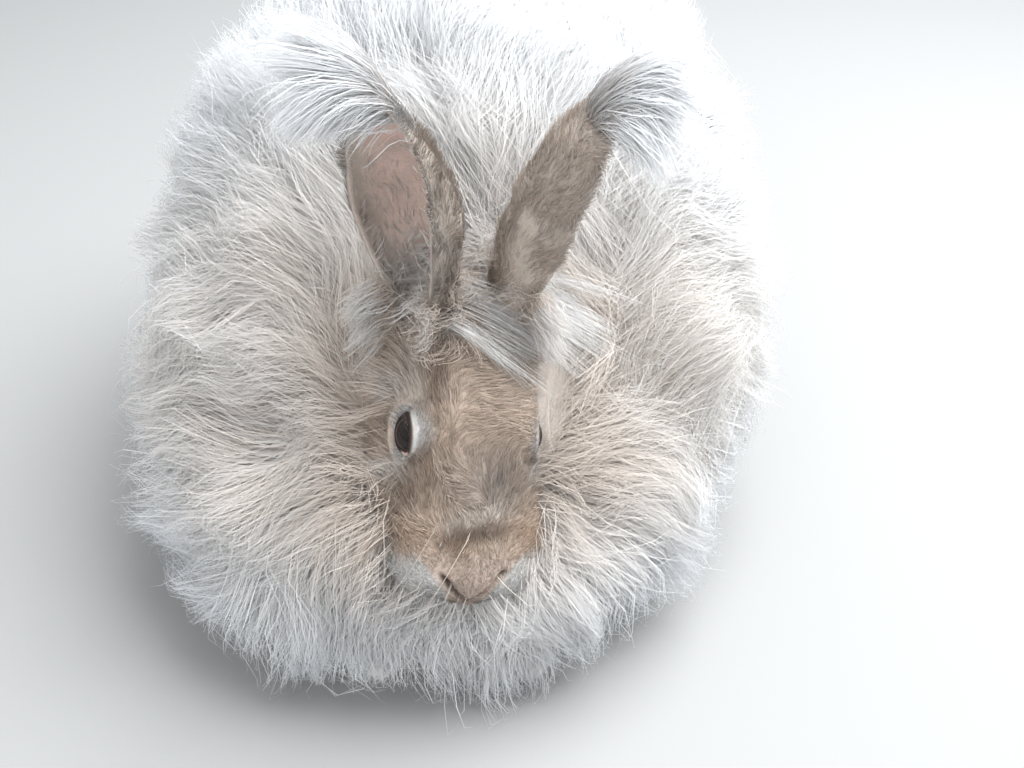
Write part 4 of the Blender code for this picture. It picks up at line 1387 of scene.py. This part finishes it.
def add_ear_fur(side, material, rng):
    """Short fur over the back of an ear, a fringe round its rim and a few long hairs inside."""
    share = rng.random(EAR_HAIRS)
    kind = rng.random(EAR_HAIRS)
    rim = kind < EAR_RIM_SHARE
    inside = (kind > EAR_RIM_SHARE) & (kind < EAR_RIM_SHARE + EAR_INSIDE_SHARE)
    turn = rng.uniform(-1, 1, EAR_HAIRS)
    turn = np.where(rim, np.sign(turn) * rng.uniform(0.93, 1.0, EAR_HAIRS), turn)
    share = np.where(inside, share**1.6 * 0.95, share)
    level = np.where(inside, 1.0, np.where(rim, rng.random(EAR_HAIRS), 0.0))
    roots, direction, along, _, sideways = ear_place(side, share, turn, level)
    normals = np.where(inside[:, None], -direction, direction)
    outward = flatten_on(sideways * np.sign(turn)[:, None], normals)
    lie = unit(along + 0.25 * outward + 0.25 * drift(roots, 0.02) + rng.normal(0, 0.12, roots.shape))
    lie = np.where(rim[:, None], unit(lie + 0.6 * outward), lie)
    at_rim, at_back, deep = (rng.uniform(*lengths, EAR_HAIRS) for lengths in EAR_HAIR_LENGTHS.values())
    deep = deep * (1 + 1.2 * step(share, 0.35, 0.05))
    length = np.where(inside, deep, np.where(rim, at_rim, at_back))
    length = (length * (1 + 0.9 * step(share, 0.20, 0.0)))[:, None]
    start = unit(lie + normals * np.where(inside, 0.45, 0.40)[:, None])
    end = unit(lie + normals * 0.05)
    hair = short_hair(roots, normals * 0.0002, (start, end), length, (0.35,), (0.55, 0.15), (0.55, 0.5))
    facing, widths, _ = dress("ear", hair, normals, rng)
    tone = share_of(0.30 + 0.15 * drift(roots, 0.02)[:, 0] + rng.normal(0, 0.35, len(hair)))
    back = layered(EAR_GREY, (DARK_FAWN, 0.5 * tone), (FAWN, 0.6 * step(share, 0.40, 0.10)))
    # painted shade: the hairs on the back of the right ear are darkened as if in shadow
    colour = layered(
        back * EAR_BACK_PAINTED_SHADE[side],
        (mix(CREAM, PEACH, 0.4), 0.90 * inside),
        (CREAM, 0.5 * rim * (rng.random(len(hair)) < 0.5)),
        (PLUME_GREY, 0.6 * step(share, 0.88, 1.0) * (1 - inside)),
    )
    colours = all_along(colour, hair)
    spots = np.stack([turn * 0.25 + 0.25 + 0.5 * (level > 0.5), share], -1)
    add_hair(f"ear_fur_{side}", material, (hair, facing, widths, colours, spots))


PLUMES = {
    # way the hairs sweep, how much of the fan hangs, side of the rim they favour, how far down they start
    "right": ((-0.048, 0.006, 0.010), 0.3, -0.45, 0.12),
    "left": ((0.043, -0.004, 0.001), 0.60, 0.0, 0.07),
}
PLUME_LOCKS = 46
PLUME_FAN = 0.021  # half of how far the hairs of a plume fan out
PLUME_DEPTH = 0.006
PLUME_WAVE = 0.0024


def add_plume(side, material, rng):
    """Long silky hairs from the tip of an ear, arching over in one bundle."""
    sweep, droop, favoured, reach = PLUMES[side]
    sweep = np.array(sweep)
    fan = unit(np.array([0.0, 0.63, 0.77]))
    look = unit(np.array([0.0, -1.0, 0.5]))
    n = PLUME_HAIRS
    share = 1 - rng.random(n) ** 1.5 * reach
    turn = np.clip(rng.normal(favoured, 0.45, n), -1, 1)
    roots, direction, along, front, _ = ear_place(side, share, turn, 0 * turn)
    lock = rng.integers(0, PLUME_LOCKS, n)
    opened = rng.uniform(-1 - droop, 1, PLUME_LOCKS)
    deep = rng.normal(0, PLUME_DEPTH, PLUME_LOCKS)
    size = rng.uniform(0.55, 1.12, PLUME_LOCKS)[lock] * rng.uniform(0.8, 1.05, n)
    size = (size * (0.55 + 0.45 * step(share, 0.86, 0.98)))[:, None]
    spread = opened[lock, None] * fan * PLUME_FAN + deep[lock, None] * BACK + rng.normal(0, 0.0018, (n, 3))
    ends = roots + (sweep * (1 - 0.25 * np.abs(opened[lock, None])) + spread) * size
    controls = np.stack([
        roots - direction * 0.0003,
        roots + (along * 0.014 - front * 0.005 + spread * 0.2) * size,
        roots + (sweep * 0.55 + along * 0.014 - front * 0.003 + spread * 0.75) * size,
        ends,
    ], 1)
    hair = bezier(controls, LOCK_TIMES)
    wave = rng.uniform(0, 2 * pi, PLUME_LOCKS)[lock, None] + rng.normal(0, 0.35, (n, 1))
    swing = swung(PLUME_WAVE, 1.3, LOCK_TIMES[None], wave, 1.4)
    hair[..., 2] += swing
    hair[..., 1] += 0.7 * swing
    facing, widths, depth = dress("plume", hair, look, rng)
    tone = share_of(rng.normal(0.6, 0.3, (len(hair), 1))) + 0 * depth
    tip = mix(BLUE_WHITE, WHITE, tone)
    colours = mix(mix(EAR_GREY, PLUME_GREY, 0.5), tip, step(depth, 0.05, 0.60))
    spots = np.stack([turn, share], -1)
    add_hair(f"plume_{side}_hair", material, (hair, facing, widths, colours, spots))


# Whiskers and lashes

WHISKERS = 14  # on each side
WHISKER_LENGTH = (0.025, 0.045)
WHISKER_RADIUS = 0.000055
LASHES = 6  # on each eye
LASH_LENGTH = (0.005, 0.008)
LASH_RADIUS = 0.00005
LASH_COLOUR = srgb(150, 140, 135)


def add_wires(name, curves, thickness, colour, material):
    """Thin tapered three-sided hairs along curves of points."""
    meshes = []
    for curve in curves:
        way = unit(np.gradient(curve, axis=0))
        one = across(way, np.array([0.31, 0.17, 0.93]))
        two = np.cross(way, one)
        radius = thickness * np.linspace(1.0, 0.12, len(curve))[:, None]
        angles = 2 * pi * np.arange(3) / 3
        rings = np.stack([curve + radius * (one * cos(angle) + two * sin(angle)) for angle in angles], 1)
        meshes.append(grid_mesh(name, rings))
        paint(meshes[-1], np.tile(colour, (3 * len(curve), 1)))
    obj = join_meshes(name, meshes, material)
    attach(obj, BODY)


def drooping(root, way, length, droop, points):
    """A curve from root along way, in the head's axes, that a droop bends more and more."""
    t = np.linspace(0, 1, points)[:, None]
    return from_head(root + way * length * t + np.array(droop) * length * t * t)


def add_whiskers(material, rng):
    curves = []
    for side in (1, -1):
        for i in range(WHISKERS):
            row = i % 4
            root = np.array([0.008 + 0.004 * (i // 4), side * (0.0170 + 0.001 * row), -0.013 - 0.004 * row])
            way = unit(np.array([0.25 + 0.2 * rng.random(), side, 0.15 - 0.22 * row + 0.1 * rng.normal()]))
            curves.append(drooping(root, way, rng.uniform(*WHISKER_LENGTH), (0.25, 0.0, -0.35), 9))
    add_wires("whiskers", curves, WHISKER_RADIUS, CREAM, material)


def add_lashes(material, rng):
    curves = []
    for middle, facing in EYES:
        face = facing @ HEAD_AXES.T
        for i in range(LASHES):
            angle = radians(100 + 9 * i + 4 * rng.normal())
            ring = np.array([-cos(angle) * EYE_HALF_LENGTH * 1.05, 0, sin(angle) * EYE_HALF_HEIGHT * 1.05])
            root = to_head(middle) + face * EYE_RADIUS * 0.66 + ring
            way = unit(face * 0.8 + np.array([1.0, 0.0, 0.2]) + 0.15 * rng.normal(size=3))
            curves.append(drooping(root, way, rng.uniform(*LASH_LENGTH), (0.2, 0.0, 0.2), 6))
    add_wires("lashes", curves, LASH_RADIUS, LASH_COLOUR, material)


def add_eyes(material):
    for name, (middle, facing) in zip(("left", "right"), EYES):
        turn = Vector(facing).to_track_quat("Z", "Y").to_matrix().to_4x4()
        place = Matrix.Translation(Vector(middle)) @ turn
        mesh = ball_mesh("eyeball_" + name, [place], 56, 36, EYE_RADIUS)
        eye = object_from("eyeball_" + name, mesh, material)
        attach(eye, BODY)
        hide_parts("eye_" + name)


# Studio

LIGHTS = (
    # name, place, what it aims at, size, power, colour
    ("key", (0.62, 0.10, 1.36), (0, 0, 0.12), 1.4, 45.0, (0.97, 0.99, 1.0)),
    ("fill", (-0.6, -1.1, 0.9), (0, 0, 0.1), 0.9, 3.5, (1.0, 0.99, 0.98)),
)
SKY_COLOUR = (0.93, 0.97, 1.0, 1)
SKY_STRENGTH = 0.74
FLOOR_COLOUR = (0.41, 0.41, 0.41, 1)
FLOOR_RADIUS = 12.0
CYCLES_SETTINGS = {
    "max_bounces": 3, "diffuse_bounces": 1, "transmission_bounces": 2, "debug_use_spatial_splits": True,
    "caustics_reflective": False, "caustics_refractive": False, "use_light_tree": False,
    "denoising_prefilter": "FAST",
}


def add_area_light(name, place, target, size, power, colour):
    data = bpy.data.lights.new(name, "AREA")
    data.shape = "DISK"
    data.size = size
    data.energy = power
    data.color = colour
    obj = bpy.data.objects.new(name, data)
    obj.location = place
    obj.rotation_euler = (Vector(target) - Vector(place)).to_track_quat("-Z", "Y").to_euler()
    bpy.context.scene.collection.objects.link(obj)


def add_studio():
    bm = bmesh.new()
    bmesh.ops.create_circle(bm, cap_ends=True, segments=96, radius=FLOOR_RADIUS)
    mesh = bpy.data.meshes.new("floor")
    bm.to_mesh(mesh)
    bm.free()
    floor_material, _, _ = new_material("studio_floor", {"Base Color": FLOOR_COLOUR, "Roughness": 0.85})
    object_from("floor", mesh, floor_material)
    for light in LIGHTS:
        add_area_light(*light)
    world = bpy.data.worlds.new("studio")
    world.use_nodes = True
    sky = world.node_tree.nodes["Background"]
    sky.inputs["Color"].default_value = SKY_COLOUR
    sky.inputs["Strength"].default_value = SKY_STRENGTH
    scene = bpy.context.scene
    scene.world = world
    scene.view_settings.view_transform = "Standard"
    for name, value in CYCLES_SETTINGS.items():
        setattr(scene.cycles, name, value)


def add_camera():
    data = bpy.data.cameras.new("camera")
    data.lens = CAMERA_LENS
    data.sensor_width = CAMERA_SENSOR
    data.clip_start = 0.01
    camera = bpy.data.objects.new("camera", data)
    camera.location = CAMERA_PLACE
    camera.rotation_euler = (pi / 2 - CAMERA_PITCH, 0.0, 0.0)
    bpy.context.scene.collection.objects.link(camera)
    bpy.context.scene.camera = camera


COAT_NODES = ("neck_ruff", "trunk", "rump", "tail", "foreleg_left", "foreleg_right",
              "hindleg_left", "hindleg_right")
FLESH_NODES = (*COAT_NODES, "head", "nose", "ear_left", "ear_right", "plume_left", "plume_right")


def main():
    rng = np.random.default_rng(SEED)
    outline = tree_of([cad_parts[name].data for name in COAT_NODES])
    body = body_skin()
    head = head_skin()
    head_tree = tree_of([head])
    lids = [lid_skin(*eye, head_tree, side) for eye, side in zip(EYES, (1, -1))]
    ears = [ear_skin("left"), ear_skin("right")]
    skin_tree = tree_of([body, head])
    wool = hair_material("long_wool", 0.42, 0.65, 0.0)
    short_fur = hair_material("short_fur", 0.15, 0.55, 0.25)
    silk = hair_material("plume_silk", 0.35, 0.45, 0.25)
    add_face_fur(head, lids, short_fur, rng)
    add_cheek_fur(head, outline, wool, rng)
    add_foot_fur(body, short_fur, rng)
    add_forelock(wool, rng)
    skin = join_meshes("skin", [body, head, *lids, *ears], skin_material())
    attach(skin, BODY)
    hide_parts(*FLESH_NODES)
    add_long_coat(outline, skin_tree, wool, rng)
    add_underwool(outline, skin_tree, wool, rng)
    for side in ("right", "left"):
        add_ear_fur(side, short_fur, rng)
        add_plume(side, silk, rng)
    add_whiskers(short_fur, rng)
    add_lashes(short_fur, rng)
    add_eyes(eye_material())
    add_studio()
    add_camera()


main()
